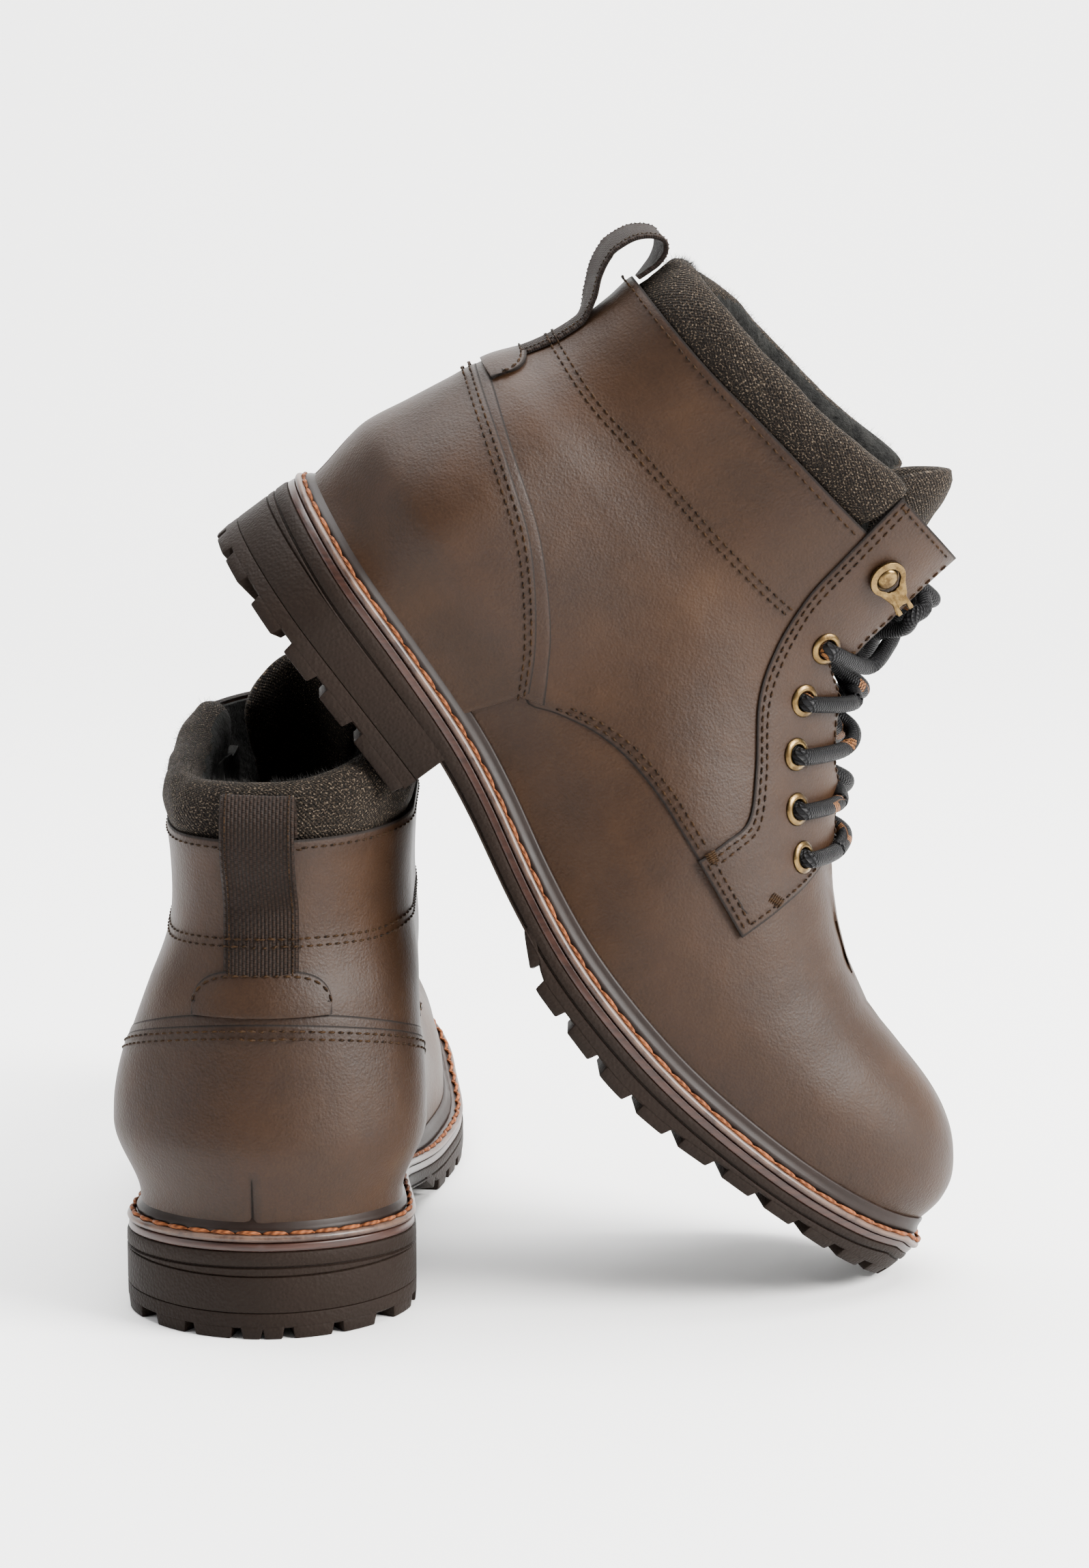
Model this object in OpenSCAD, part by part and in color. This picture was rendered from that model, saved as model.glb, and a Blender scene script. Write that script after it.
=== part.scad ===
// A pair of lace-up leather ankle boots with a fleece lining and a padded collar.
// The left boot stands on its heel and ball. The right boot leans on it, toe down.
// Both are one design: boot space has x forward from the back of the heel, y to the
// inner side of the foot and z up from the ground, and the left boot is its mirror.

/* [Sole] */
// Length of the sole from heel to toe
sole_length = 307.5; // [300:0.5:315]
// Half width of the sole at the heel
heel_half = 44; // [41:0.5:46]
// Half width of the sole at the waist
waist_half = 39.5; // [37:0.5:41]
// Half width of the sole at the ball of the foot
ball_half = 52.5; // [50:0.5:54]
// Height of the heel below the outsole
heel_height = 19; // [17:0.5:20]
// Thickness of the top lift that wears against the ground
lift_thick = 8; // [7:0.5:9]
// Depth of the moulded tread
tread_depth = 3.2; // [2.5:0.1:3.5]
// Distance from one tread block to the next
tread_pitch = 16; // [15:0.5:17]
// Distance from one heel block to the next
heel_pitch = 17.5; // [17:0.5:18]
// Width of the grooves between the blocks
groove_width = 4.4; // [3:0.2:5]

/* [Upper] */
// Thickness of the leather
leather = 2; // [1.6:0.1:2.2]
// Thickness of the fleece lining
fleece = 3; // [2:0.2:3.4]
// Gap between neighbouring pieces
gap = 0.3; // [0.2:0.05:0.4]
// Half width of the shaft above the ankle
shaft_half = 35.5; // [34:0.5:37]
// Thickness of the padded collar
collar_thick = 12; // [10:0.5:13]
// Thickness of the padded tongue
tongue_thick = 7; // [5:0.5:7]
// Width of the webbing at the heel
webbing_width = 22; // [20:1:24]
// Thickness of the webbing
webbing_thick = 1.5; // [1.2:0.1:1.6]

/* [Lacing] */
// Outer diameter of an eyelet
eyelet_outer = 9.4; // [9:0.2:10]
// Hole through an eyelet
eyelet_hole = 5.8; // [5.6:0.1:6]
// Diameter of the round lace
lace_dia = 5; // [4:0.2:5.2]

/* [Leaning boot] */
// How far the right boot tips forward
lean_angle = 53.52; // [53:0.02:54]

/* [Hidden] */
SIDES = ["left", "right"];
PIECES = ["outsole", "heel_block", "top_lift", "midsole", "welt", "welt_stitch", "rand",
    "shank", "filler", "insole_board", "footbed", "toe_puff", "counter_stiffener", "vamp",
    "quarter_outer", "quarter_inner", "heel_counter", "counter_trim", "heel_tab",
    "back_strap", "pull_loop", "eyestay_outer", "eyestay_inner", "eyelets", "lace_hooks",
    "collar", "vamp_lining", "shaft_lining", "tongue", "lace"];

// The row's origin is under the middle of the left heel
rest_x = 44;
// The sole's last section, whose lower edge the right boot stands on
toe_tip = 307.1;
toe_under = 26;
// Where the right boot's own origin lies, from the left boot's own origin
lean_at = [-16.3, 68, toe_tip*sin(lean_angle) - toe_under*cos(lean_angle)];
// The line along which the front edge of the right heel presses into the left collar
heel_front = 92.4;
press_at = [lean_at[0] + heel_front*cos(lean_angle), lean_at[2] - heel_front*sin(lean_angle) - 0.9];

// ---- Curves -------------------------------------------------------------------
function clamp01(t) = min(1, max(0, t));
function ease(t) = let (u = clamp01(t)) u*u*(3 - 2*u);
function mix(a, b, t) = a*(1 - t) + b*t;
function slope(k, i) = let (a = max(0, i - 1), b = min(len(k) - 1, i + 1))
    (k[b][1] - k[a][1])/(k[b][0] - k[a][0]);
// A smooth curve through knots [x, y], level beyond its ends
function curve(x, k, i = 0) =
    x <= k[0][0] ? k[0][1] :
    i >= len(k) - 1 ? k[len(k) - 1][1] :
    x > k[i + 1][0] ? curve(x, k, i + 1) :
    let (h = k[i + 1][0] - k[i][0], t = (x - k[i][0])/h, s = 1 - t)
    s*s*(1 + 2*t)*k[i][1] + t*t*(3 - 2*t)*k[i + 1][1]
        + h*t*s*(s*slope(k, i) - t*slope(k, i + 1));
// A point at t from 0 to 1 along a list of points, each step taking the same share
function along(t, pts) = let (n = len(pts) - 1, i = min(n - 1, floor(t*n)), u = t*n - i)
    let (a = pts[max(0, i - 1)], b = pts[i], c = pts[i + 1], d = pts[min(n, i + 2)])
    b + u*((c - a)/2 + u*((2*a - 5*b + 4*c - d)/2 + u*(3*b - a - 3*c + d)/2));
// Rounds a form towards its end: 0 at the end and 1 from there inwards
function round_end(d, r) = let (u = 1 - clamp01(d/r)) sqrt(max(0, 1 - u*u));
function unit(v) = v/max(norm(v), 1e-9);
// Steps from 0 to 1 that crowd towards 0
function crowd(t) = 1 - cos(90*t);

// ---- Sole outline and levels ----------------------------------------------------
toe_round = 62;
heel_round = 42;
function half_outer(x) = curve(x, [[0, heel_half - 2], [37, heel_half], [92, waist_half],
    [125, 43], [172, ball_half - 0.5], [215, ball_half - 1], [250, ball_half - 4],
    [sole_length, ball_half - 8]]);
function half_inner(x) = curve(x, [[0, heel_half - 2], [37, heel_half], [92, waist_half],
    [130, 41], [175, ball_half - 3], [208, ball_half + 0.5], [250, ball_half - 5],
    [sole_length, ball_half - 10]]);
function middle(x) = 3.5*ease((x - 150)/150);
// A point of the outline at a turn from 0 (heel) by 180 (toe) round to 360
function outline(a) = let (x = sole_length*(1 - cos(a))/2, outer = (a + 360) % 360 < 180,
        half = outer ? half_outer(x) : half_inner(x),
        ends = round_end(x, heel_round)*round_end(sole_length - x, toe_round))
    [x, middle(x) + (outer ? -1 : 1)*half*ends];
// The same point moved inwards
function inset(a, d) = let (t = unit(outline(a + 0.5) - outline(a - 0.5)))
    outline(a) + d*[-t[1], t[0]];

// Level of the feather line, where the upper meets the welt
function feather(x) = curve(x, [[0, 36.5], [10, 35.8], [33, 34.4], [62, 33.6], [90, 32],
    [109, 29.3], [137, 23.6], [160, 20.6], [184, 20.3], [208, 22], [233, 26.4],
    [260, 33.3], [285, 41.5], [298, 47]]);
// Lowest level of the tread ahead of the heel
function ground(x) = max(0, curve(x, [[92, 17.5], [137, 12], [151, 5], [163, 0], [196, 0],
    [217, 3.2], [243, 10.5], [265, 16.5], [285, 21.5], [302, toe_under]]));
welt_top = 4.8;
welt_bottom = 7.4;
midsole_bottom = 10;

// A plate with the sole's outline inset by d, between two levels given by functions
module plate(d, low, high, n = 48) {
    turns = [for (i = [0:n/2]) 180*i/(n/2)];
    pts = [for (a = turns) let (o = inset(a, d), i = inset(360 - a, d))
        each [[o[0], o[1], low(o[0])], [i[0], i[1], low(i[0])],
            [i[0], i[1], high(i[0])], [o[0], o[1], high(o[0])]]];
    band(pts, n/2);
}
// A closed solid from rings of four points
module band(pts, n) {
    polyhedron(pts, [
        [0, 1, 2, 3],
        for (i = [0:n - 1]) for (j = [0:3]) let (a = 4*i + j, b = 4*i + (j + 1) % 4)
            each [[a, a + 4, b + 4], [a, b + 4, b]],
        [4*n + 3, 4*n + 2, 4*n + 1, 4*n]]);
}

// ---- The upper's outer surface ----------------------------------------------------
// The back of the boot in side view, x for a height z
function back_x(z) = curve(z, [[28, 5.5], [38, 4.3], [50, 1.9], [57, 1.3], [70, 3.4],
    [84, 5.6], [97, 7.6], [108, 11.6], [120, 14], [137, 14], [147, 13], [175, 14]]);
// The front of the boot in side view: the toe, the instep and the line of the laces
RIDGE = [[300, 73.6], [235, 73.3], [220, 76.2], [209, 80.3], [199, 85.3], [191, 90.5],
    [181, 99], [168, 110], [156, 122], [148, 134], [144.5, 148], [142, 162], [139, 180]];
function ridge_z(x) = curve(x, [[191, 90.5], [199, 85.3], [209, 80.3], [220, 76.2],
    [235, 73.3], [250, 73.8], [266, 74.3], [277, 73], [287, 69.4], [295.4, 63], [300.5, 55]]);
function to_line(p, a, b) = let (d = b - a, t = clamp01((p - a)*d/(d*d))) norm(p - a - t*d);
function under_ridge(x, z) = x > 240 ? max(0, ridge_z(x) - z) :
    min([for (i = [0:len(RIDGE) - 2]) to_line([x, z], RIDGE[i], RIDGE[i + 1])]);
toe_x = 300.5;
function crown(x) = curve(x, [[120, 60], [150, 64], [175, 70], [200, 60], [235, 46],
    [266, 40], [287, 25], [toe_x, 9]]);
function shaft_shift(x, z) = 6*ease((z - 60)/60)*ease((x - 10)/50) + middle(x);
// Half width before the ends are rounded
function fullness(x, z, out) = let (
        foot = (out ? half_outer(x) : half_inner(x)) - curve(x, [[40, 5.5], [120, 6.5], [200, 7]]),
        bulge = curve(x, [[20, 7.5], [60, 7], [95, 5], [150, 3], [200, 1.5], [260, 1]]),
        low = foot + bulge*ease((z - feather(x))/24),
        high = curve(z, [[100, shaft_half + 2], [127, shaft_half], [160, shaft_half + 2]]))
    mix(low, high, ease((z - 62)/58)*ease((215 - x)/30));
// The point of the surface at x, z on the outer (-1) or inner (+1) side
function skin(x, z, s) = let (w = fullness(x, z, s < 0)
        *round_end(x - back_x(z), mix(40, 48, ease((z - 60)/60)))
        *round_end(under_ridge(x, z), crown(x))*round_end(toe_x - x, 56))
    [x, shaft_shift(x, z) + s*w, z];

// A closed leaf of material from a grid of points: lift is how far its outer face
// stands from the grid, and thick is its thickness, inwards. With tip, the last row's
// two halves are one line, so they share their points and need no wall
module leaf(g, lift, thick, flip = false, tip = false) {
    rows = len(g);
    cols = len(g[0]);
    sign = flip ? -1 : 1;
    face = [for (i = [0:rows - 1]) for (j = [0:cols - 1]) let (
            a = g[min(rows - 1, i + 1)][j] - g[max(0, i - 1)][j],
            b = g[i][min(cols - 1, j + 1)] - g[i][max(0, j - 1)],
            n = tip && i == rows - 1 ? unit([1, 0, 0.2]) : unit(cross(a, b))*sign) [g[i][j], n]];
    pts = [for (f = face) f[0] + lift*f[1], for (f = face) f[0] + (lift - thick)*f[1]];
    m = rows*cols;
    last = (rows - 1)*cols;
    join = function (k) let (q = k % m) tip && q - last > (cols - 1)/2 ?
        k - q + 2*last + cols - 1 - q : k;
    edge = [for (i = [rows - 1:-1:1]) i*cols, for (j = [0:cols - 2]) j,
        for (i = [0:rows - 1]) i*cols + cols - 1, if (!tip) for (j = [cols - 2:-1:1]) last + j];
    walls = tip ? len(edge) - 2 : len(edge) - 1;
    faces = [
        for (i = [0:rows - 2]) for (j = [0:cols - 2])
            let (a = i*cols + j, b = a + 1, c = a + cols + 1, d = a + cols)
            each [[a, b, c], [a, c, d], [m + a, m + c, m + b], [m + a, m + d, m + c]],
        for (k = [0:walls]) let (a = edge[k], b = edge[(k + 1) % len(edge)])
            each [[a, m + a, m + b], [a, m + b, b]]];
    joined = [for (f = faces) [join(f[0]), join(f[1]), join(f[2])]];
    polyhedron(pts, flip ? [for (f = joined) [f[2], f[1], f[0]]] : joined);
}
// A patch of side-view points between four edges, each a function of 0 to 1
function patch(u, v, low, high, left, right) =
    mix(low(u), high(u), v) + mix(left(v), right(v), u)
        - mix(mix(low(0), low(1), u), mix(high(0), high(1), u), v);
// The patch laid on one side of the boot, with its columns crowded towards the left
// edge where that edge is the back of the boot
function side_grid(s, rows, cols, low, high, left, right, back = false, d = 0) =
    [for (i = [0:rows]) [for (j = [0:cols]) let (
        u = back ? crowd(j/cols) : j/cols,
        p = patch(mix(d, 1 - d, u), mix(d, 1 - d, i/rows), low, high, left, right),
        x = max(p[0], back_x(p[1]))) skin(x, p[1], s)]];

// The patch over both sides, joined along the back
function both_grid(rows, half, low, high, right) =
    [for (i = [0:rows]) [for (j = [-half:half]) let (
        left = function (t) let (z = mix(low(0)[1], high(0)[1], t)) [back_x(z), z],
        p = patch(crowd(abs(j)/half), i/rows, low, high, left, right),
        x = max(p[0], back_x(p[1]))) skin(x, p[1], j < 0 ? -1 : 1)]];
// Points across the back of the boot, y to each side of the back seam
function back_skin(y, z) = let (x0 = back_x(z), r = mix(40, 48, ease((z - 60)/60)),
        w = fullness(x0 + 3, z, y < 0))
    skin(x0 + r*(1 - sqrt(1 - pow(y/w, 2))), z, sign(y));

// Edges of the panels in side view
COUNTER_TOP = [[6.6, 93.5], [16, 90.6], [25, 87.8], [34, 84.8], [52.5, 78.2], [66.6, 70.5],
    [80.8, 60.4], [91.6, 50.4]];
TRIM_TOP = [[7.4, 96.6], [16, 93.9], [25, 90.7], [34, 87.6], [52.6, 81.4], [66.6, 74.6],
    [80.8, 65.8], [90.3, 57.8], [96.5, 51.4]];
QUARTER_LOW = [[7.6, 97.4], [18, 94], [32, 89.3], [46, 84.8], [60, 78.9], [74, 71.3],
    [86, 62.6], [97, 53], [103, 53.6], [112, 58.4], [124, 62], [138, 62.9], [150, 62.4], [159, 61.8]];
STAY_REAR = [[160.5, 60.5], [161, 70], [160.5, 79], [150, 89.5], [134, 102.6], [125, 115.9],
    [118.5, 132], [115.6, 146], [113.4, 158], [111, 171.7]];
STAY_FRONT = [[187.3, 57], [188.4, 70], [189, 82], [186.5, 94], [176.5, 103.5],
    [164.5, 110], [152, 121], [143, 133], [140.5, 148], [138.4, 162], [137.2, 175]];
TOPLINE = [[13.5, 146.5], [30, 146.7], [48, 148], [66, 150.6], [84, 153], [100, 155], [112.2, 156.8]];
THROAT = [[86.5, 28], [88, 34.5], [92, 42], [97, 48.2], [105, 52.6], [114, 57.4],
    [125, 60], [140, 61], [158, 58.8], [174, 56.6], [190, 54.4], [191.4, 68], [192, 82], [194, 88]];
LINING_REAR = [[101, 29.5], [120, 40], [140, 54], [158, 66], [174, 72], [186, 78], [192, 86]];
LINING_FRONT = [[98.5, 27], [117, 40.5], [136, 54.6], [152, 66], [157, 78], [152, 89.5],
    [138, 102.6], [129, 116], [122.5, 132], [119.6, 146], [117.4, 157], [115.5, 161]];
// The welt starts this far below the feather line, and the lining sits higher
seat = 4.3;
// Room left between one layer of the upper and the next
slack = 0.8;
lining_seat = 2.2;
puff = 1.2;
function sole_line(x0, x1, drop) = function (t) let (x = mix(x0, x1, t)) [x, feather(x) - drop];
function ceiling(x) = x < 191 ? 90.5 : ridge_z(x);
// A grid from a throat line forward to the toe, where the last row closes on itself
function toe_grid(rows, half, throat, bend, drop) =
    [for (i = [0:rows]) [for (j = [-half:half]) let (
        v = abs(j)/half, t = 1 - v, n = len(throat) - 1,
        corner = 6/11,
        share = (t < corner ? t/corner*bend : bend + (t - corner)/(1 - corner)*(n - bend))/n,
        p = along(share, throat),
        start = (p[1] - feather(p[0]) + drop)/(ceiling(p[0]) - feather(p[0]) + drop),
        go = sin(90*i/rows),
        x = mix(p[0], toe_x, go),
        h = mix(start, t, ease(go*1.3)),
        z = mix(feather(x) - drop, ceiling(x), h)) skin(x, z, sign(j))]];

// ---- Sole pieces ------------------------------------------------------------------
function under(d) = function (x) feather(x) - d;
function turn_at(x) = acos(1 - 2*x/sole_length);
// Four corners of a section across the sole at x
function section(x, d, low, high) = let (a = turn_at(x), o = inset(a, d), i = inset(360 - a, d))
    [[o[0], o[1], low], [i[0], i[1], low], [i[0], i[1], high], [o[0], o[1], high]];
draft = 0.3;
function outsole_top(x) = feather(x) - midsole_bottom - 0.7;
// The runner: thin over the heel and the waist, with tread blocks from there forward
module outsole() color("#2b211c") {
    first = 141;
    blocks = floor((288 - first)/tread_pitch);
    heel = [for (x = [0.4, 3, 8, 16, 28, 42, 60, 78, 92]) [x, heel_height]];
    waist = [for (x = [96, 108, 120, 130, 137]) [x, ground(x)]];
    tread = [for (k = [0:blocks - 1]) let (x = first + k*tread_pitch, e = x + groove_width)
        each [[x, ground(x)], [x + draft, ground(x) + tread_depth],
            [e - draft, ground(e) + tread_depth], [e, ground(e)]]];
    toe = [for (x = [288, 293, 298, 302, 305, toe_tip]) [x, ground(min(x, 302))]];
    cuts = concat(heel, waist, tread, toe);
    band([for (c = cuts) each section(c[0], 0, c[1], outsole_top(c[0]))], len(cuts) - 1);
}
// The block that raises the heel
module heel_block() color("#2f241e") {
    xs = [0.4, 3, 8, 16, 28, 42, 60, 78, heel_front];
    band([for (x = xs) each section(x, 0, lift_thick, heel_height)], len(xs) - 1);
}
// The wearing piece under the heel, with its blocks
module top_lift() color("#2b211c") {
    start = [for (x = [0.4, 2, 5, 10]) [x, 0]];
    tread = [for (k = [0:3]) let (x = 15 + k*heel_pitch, e = x + groove_width)
        each [[x, 0], [x + draft, tread_depth], [e - draft, tread_depth], [e, 0]]];
    cuts = concat(start, tread, [[80, 0], [heel_front, 0]]);
    band([for (c = cuts) each section(c[0], 0.4, c[1], lift_thick)], len(cuts) - 1);
}
module midsole() color("#4c2a20") plate(0.8, under(midsole_bottom), under(welt_bottom + 0.2));
// A closed loop of rings of m points each
module hoop(pts, n, m) polyhedron(pts, [for (i = [0:n - 1]) for (j = [0:m - 1])
    let (a = m*i + j, b = m*i + (j + 1) % m, c = m*((i + 1) % n) + (j + 1) % m, d = m*((i + 1) % n) + j)
    each [[a, d, c], [a, c, b]]]);
// A flat strip round the edge, sewn to the midsole
module welt() color("#5a3426") hoop([for (i = [0:47]) let (a = 7.5*i, o = inset(a, 0.3),
        n = inset(a, 11), zo = feather(o[0]), zn = feather(n[0]))
    each [[o[0], o[1], zo - welt_bottom + gap], [n[0], n[1], zn - welt_bottom + gap],
        [n[0], n[1], zn - welt_top], [o[0], o[1], zo - welt_top]]], 48, 4);
// The lock stitch on top of the welt, as one thin cord
module welt_stitch() color("#a8603a") hoop([for (i = [0:47]) let (a = 7.5*i, o = inset(a, 0.8),
        n = inset(a, 1.9), zo = feather(o[0]) - welt_top + 0.1, zn = feather(n[0]) - welt_top + 0.1)
    each [[o[0], o[1], zo], [n[0], n[1], zn], [n[0], n[1], zn + 1], [o[0], o[1], zo + 1]]], 48, 4);
// A point round the foot of the upper, d outwards
function foot_point(a, d) = let (
        at = function (a) let (x = mix(back_x(34), toe_x, (1 - cos(a))/2),
            p = skin(x, feather(x) - 1, (a + 360) % 360 < 180 ? -1 : 1)) [p[0], p[1]],
        t = unit(at(a + 0.4) - at(a - 0.4)))
    at(a) - d*[-t[1], t[0]];
// The bead pressed between the welt and the upper
module rand() color("#3a221a") hoop([for (i = [0:47]) let (a = 7.5*i + 3.75, n = foot_point(a, 0.9),
        o = foot_point(a, 2.6), zn = feather(n[0]), zo = feather(o[0]))
    each [[o[0], o[1], zo - welt_top + 0.25], [n[0], n[1], zn - welt_top + 0.25],
        [n[0], n[1], zn], [o[0], o[1], zo - 0.8]]], 48, 4);
// The steel strip that stiffens the waist
module shank() color("#8d8f92") {
    xs = [46, 65, 85, 100, 115, 130, 142];
    band([for (x = xs) let (z = feather(x) - 5.95) each
        [[x, -7, z], [x, 7, z], [x, 7, z + 0.9], [x, -7, z + 0.9]]], len(xs) - 1);
}
module filler() color("#9a7b55") plate(11.5, under(welt_bottom - 0.25), under(6.2));
module insole_board() color("#b09468") plate(12, under(welt_top - 0.1), under(2.5));
module footbed() color("#3d3936") plate(17, under(2.2), under(-3));

// ---- Upper pieces -------------------------------------------------------------------
lining_lift = -(leather + puff + 3*slack);
module toe_puff() color("#c9b58e") leaf(toe_grid(6, 7, [for (h = [0:0.2:1])
        [246, mix(feather(246) - lining_seat, ridge_z(246) - 0.5, h)]], 2.75, lining_seat),
    -leather - slack, puff, tip = true);
module counter_stiffener() color("#c9b58e") leaf(both_grid(6, 8,
        sole_line(back_x(32), 82, lining_seat), function (t) along(t, COUNTER_TOP) - [t*6, 4],
        function (t) mix([82, feather(82) - lining_seat], COUNTER_TOP[7] - [6, 4], t)),
    -leather - slack, puff);
module vamp() color("#7d5238") leaf(toe_grid(11, 11, THROAT, 10, seat), 0, leather, tip = true);
// The quarters, from the back seam to the eyestay and from the counter to the topline
module quarter(s) color("#7a5038")
    leaf(side_grid(s, 9, 14, function (t) along(t, QUARTER_LOW), function (t) along(t, TOPLINE),
        function (t) let (z = mix(97.4, 146.5, t)) [back_x(z), z],
        function (t) t < 1 ? along(t*8/9, STAY_REAR) - [1.2, 0] : [112.2, 156.8],
        back = true, d = 0.004), 0, leather, s < 0);
module heel_counter() color("#74492f") leaf(both_grid(7, 10,
        sole_line(back_x(32), 84.5, seat), function (t) along(t, COUNTER_TOP),
        function (t) t < 0.5 ? mix([84.5, feather(84.5) - seat], [88, 39], t*2)
            : mix([88, 39], COUNTER_TOP[7], t*2 - 1)), 0, leather);
// A narrow strip over the seam between the counter and the quarters
module counter_trim() color("#6b432c") leaf(both_grid(1, 12,
        function (t) along(t, COUNTER_TOP) + [t*0.8, 0.7], function (t) along(t, TRIM_TOP),
        function (t) mix(COUNTER_TOP[7] + [0.8, 0.7], TRIM_TOP[8], t)), 0, leather);
// The half-oval patch over the foot of the webbing
module heel_tab() color("#6f452e") leaf([for (i = [0:3]) [for (j = [-6:6])
        let (y = 19.4*sin(15*j), top = 97.8 + 10*pow(1 - pow(abs(y/19.5), 3.4), 0.5))
        back_skin(y, mix(97.5, top, i/3))]], 1.5, 1.4);
// The webbing sewn down the back, and its free foot that leads up to the loop
module back_strap() color("#3f2a20") {
    webbing(LOOP_FOOT);
    leaf([for (i = [0:4]) [for (j = [-3:3])
        back_skin(webbing_width/6*j, mix(108.4, 126.5, i/4))]], webbing_thick + 0.1, webbing_thick);
}
// A strip of webbing along side-view points
module webbing(pts) band([for (i = [0:len(pts) - 1]) let (
        t = unit(pts[min(len(pts) - 1, i + 1)] - pts[max(0, i - 1)]),
        n = webbing_thick/2*[-t[1], t[0]], w = webbing_width/2, a = pts[i] - n, b = pts[i] + n)
    each [[a[0], -w, a[1]], [a[0], w, a[1]], [b[0], w, b[1]], [b[0], -w, b[1]]]], len(pts) - 1);
LOOP_FOOT = [[12.3, 127.6], [9, 133.6], [4.6, 139], [1.9, 144], [1.2, 148]];
LOOP_TOP = [[1.2, 148.6], [1.9, 153.6], [4.4, 157.8], [7.7, 160], [10.6, 158.4], [12.6, 155],
    [13.4, 151.5]];
module pull_loop() color("#3f2a20") webbing(LOOP_TOP);

// The stays that carry the eyelets and hooks
EYELETS = [[181.3, 84.2], [168.3, 91.4], [154.8, 101], [143.4, 112.5], [134.6, 127.2]];
HOOK = [127.4, 154.4];
stay_lift = 0.6;
// The outward direction of the skin at a side-view point
function outward(p, s) = s*unit(cross(skin(p[0], p[1] + 1, s) - skin(p[0], p[1] - 1, s),
    skin(p[0] + 1, p[1], s) - skin(p[0] - 1, p[1], s)));
// Puts its children on the skin at a side-view point, +Z outwards
module on_skin(p, s) let (n = outward(p, s)) translate(skin(p[0], p[1], s))
    rotate([0, acos(n[2]), atan2(n[1], n[0])]) children();
module eyestay(s) color("#6f452e") difference() {
    leaf(side_grid(s, 14, 5, function (t) mix(STAY_REAR[0], STAY_FRONT[0], t),
        function (t) mix(STAY_REAR[9], STAY_FRONT[10], t), function (t) along(t, STAY_REAR),
        function (t) along(t, STAY_FRONT)), stay_lift, leather, s < 0);
    for (p = EYELETS) on_skin(p, s) cylinder(r = eyelet_hole/2 + 0.6, h = 12, center = true, $fn = 32);
}
module eyelets() color("#a98a4c") for (s = [-1, 1]) for (p = EYELETS) on_skin(p, s)
    rotate_extrude($fn = 40) polygon([[eyelet_hole/2, -2.4], [eyelet_hole/2 + 0.5, -2.4],
        [eyelet_hole/2 + 0.5, stay_lift + 0.7], [eyelet_outer/2, stay_lift + 0.7],
        [eyelet_outer/2 - 0.4, stay_lift + 1.3], [eyelet_hole/2 + 0.5, stay_lift + 1.5],
        [eyelet_hole/2, stay_lift + 1.1]]);
// Speed hooks: a riveted disc with a lip that stands over the lace
module lace_hooks() color("#a98a4c") for (s = [-1, 1]) on_skin(HOOK, s)
    translate([0, 0, stay_lift + 0.7]) {
        cylinder(d = 11, h = 1, $fn = 40);
        translate([0, 0, 1]) cylinder(d = 6.4, h = 1.2, $fn = 40);
    }

// The padded roll round the top. Its section goes inwards by d and up by h
ROLL = [[0.6, 0.9], [-0.6, 4], [-0.8, 8.5], [0.8, 12.4], [4.4, 14.6], [8.6, 13.8],
    [11, 10.4], [collar_thick - 0.6, 5.5], [collar_thick - 1.4, 0.9]];
// Height that the collar keeps where the heel squeezes it
squeezed = 0.06;
// Room behind the collar for the foot of the loop
loop_room = 3;
// Level of the heel over the collar: its front face, a flat strip under its edge, its tread
press_flat = 2.4;
function press_top(y) = press_at[1] + max(0, (press_at[0] - y - press_flat)/tan(90 - lean_angle),
    (y - press_at[0] - press_flat)*tan(90 - lean_angle));
module collar(pressed) color("#332d29") {
    half = 11;
    m = len(ROLL);
    rings = [for (j = [-half:half]) let (
        s = j < 0 ? -1 : 1, u = crowd(abs(j)/half), e = along(u, TOPLINE), x = min(e[0], 109.5),
        n = outward([max(x, back_x(e[1]) + 0.3), e[1]], s), flat = j == 0 ? [-1, 0] : unit([n[0], n[1]]),
        at = skin(x, e[1], s), rise = mix(1.08, 0.9, u),
        back = loop_room*(1 - ease(u/0.2)),
        dent = pressed && s > 0 ? ease((x - 13)/9) : 0)
        for (r = ROLL) let (d = mix(r[0], max(r[0], 0), back/loop_room) + back,
                y = at[1] - d*flat[1], z = e[1] + r[1]*rise)
            [at[0] - d*flat[0], y, mix(z, min(z, max(press_top(y), e[1] + r[1]*squeezed)), dent)]];
    polyhedron(rings, [
        [for (k = [0:m - 1]) k],
        for (i = [0:2*half - 1]) for (k = [0:m - 1])
            let (a = m*i + k, b = m*i + (k + 1) % m) each [[a, a + m, b + m], [a, b + m, b]],
        [for (k = [m - 1:-1:0]) 2*half*m + k]]);
}
module vamp_lining() color("#4a4642") leaf(toe_grid(8, 8, LINING_REAR, 3.3, lining_seat),
    lining_lift, fleece, tip = true);
// The fleece round the heel and the shaft
module shaft_lining() color("#3a3734") leaf(both_grid(10, 9,
        sole_line(back_x(32), 98.5, lining_seat),
        function (t) t < 0.97 ? along(t, TOPLINE) - [0, 1.5]
            : mix([110, 155], [115.5, 161], (t - 0.97)/0.03),
        function (t) along(t, LINING_FRONT)),
    lining_lift, fleece);

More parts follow.
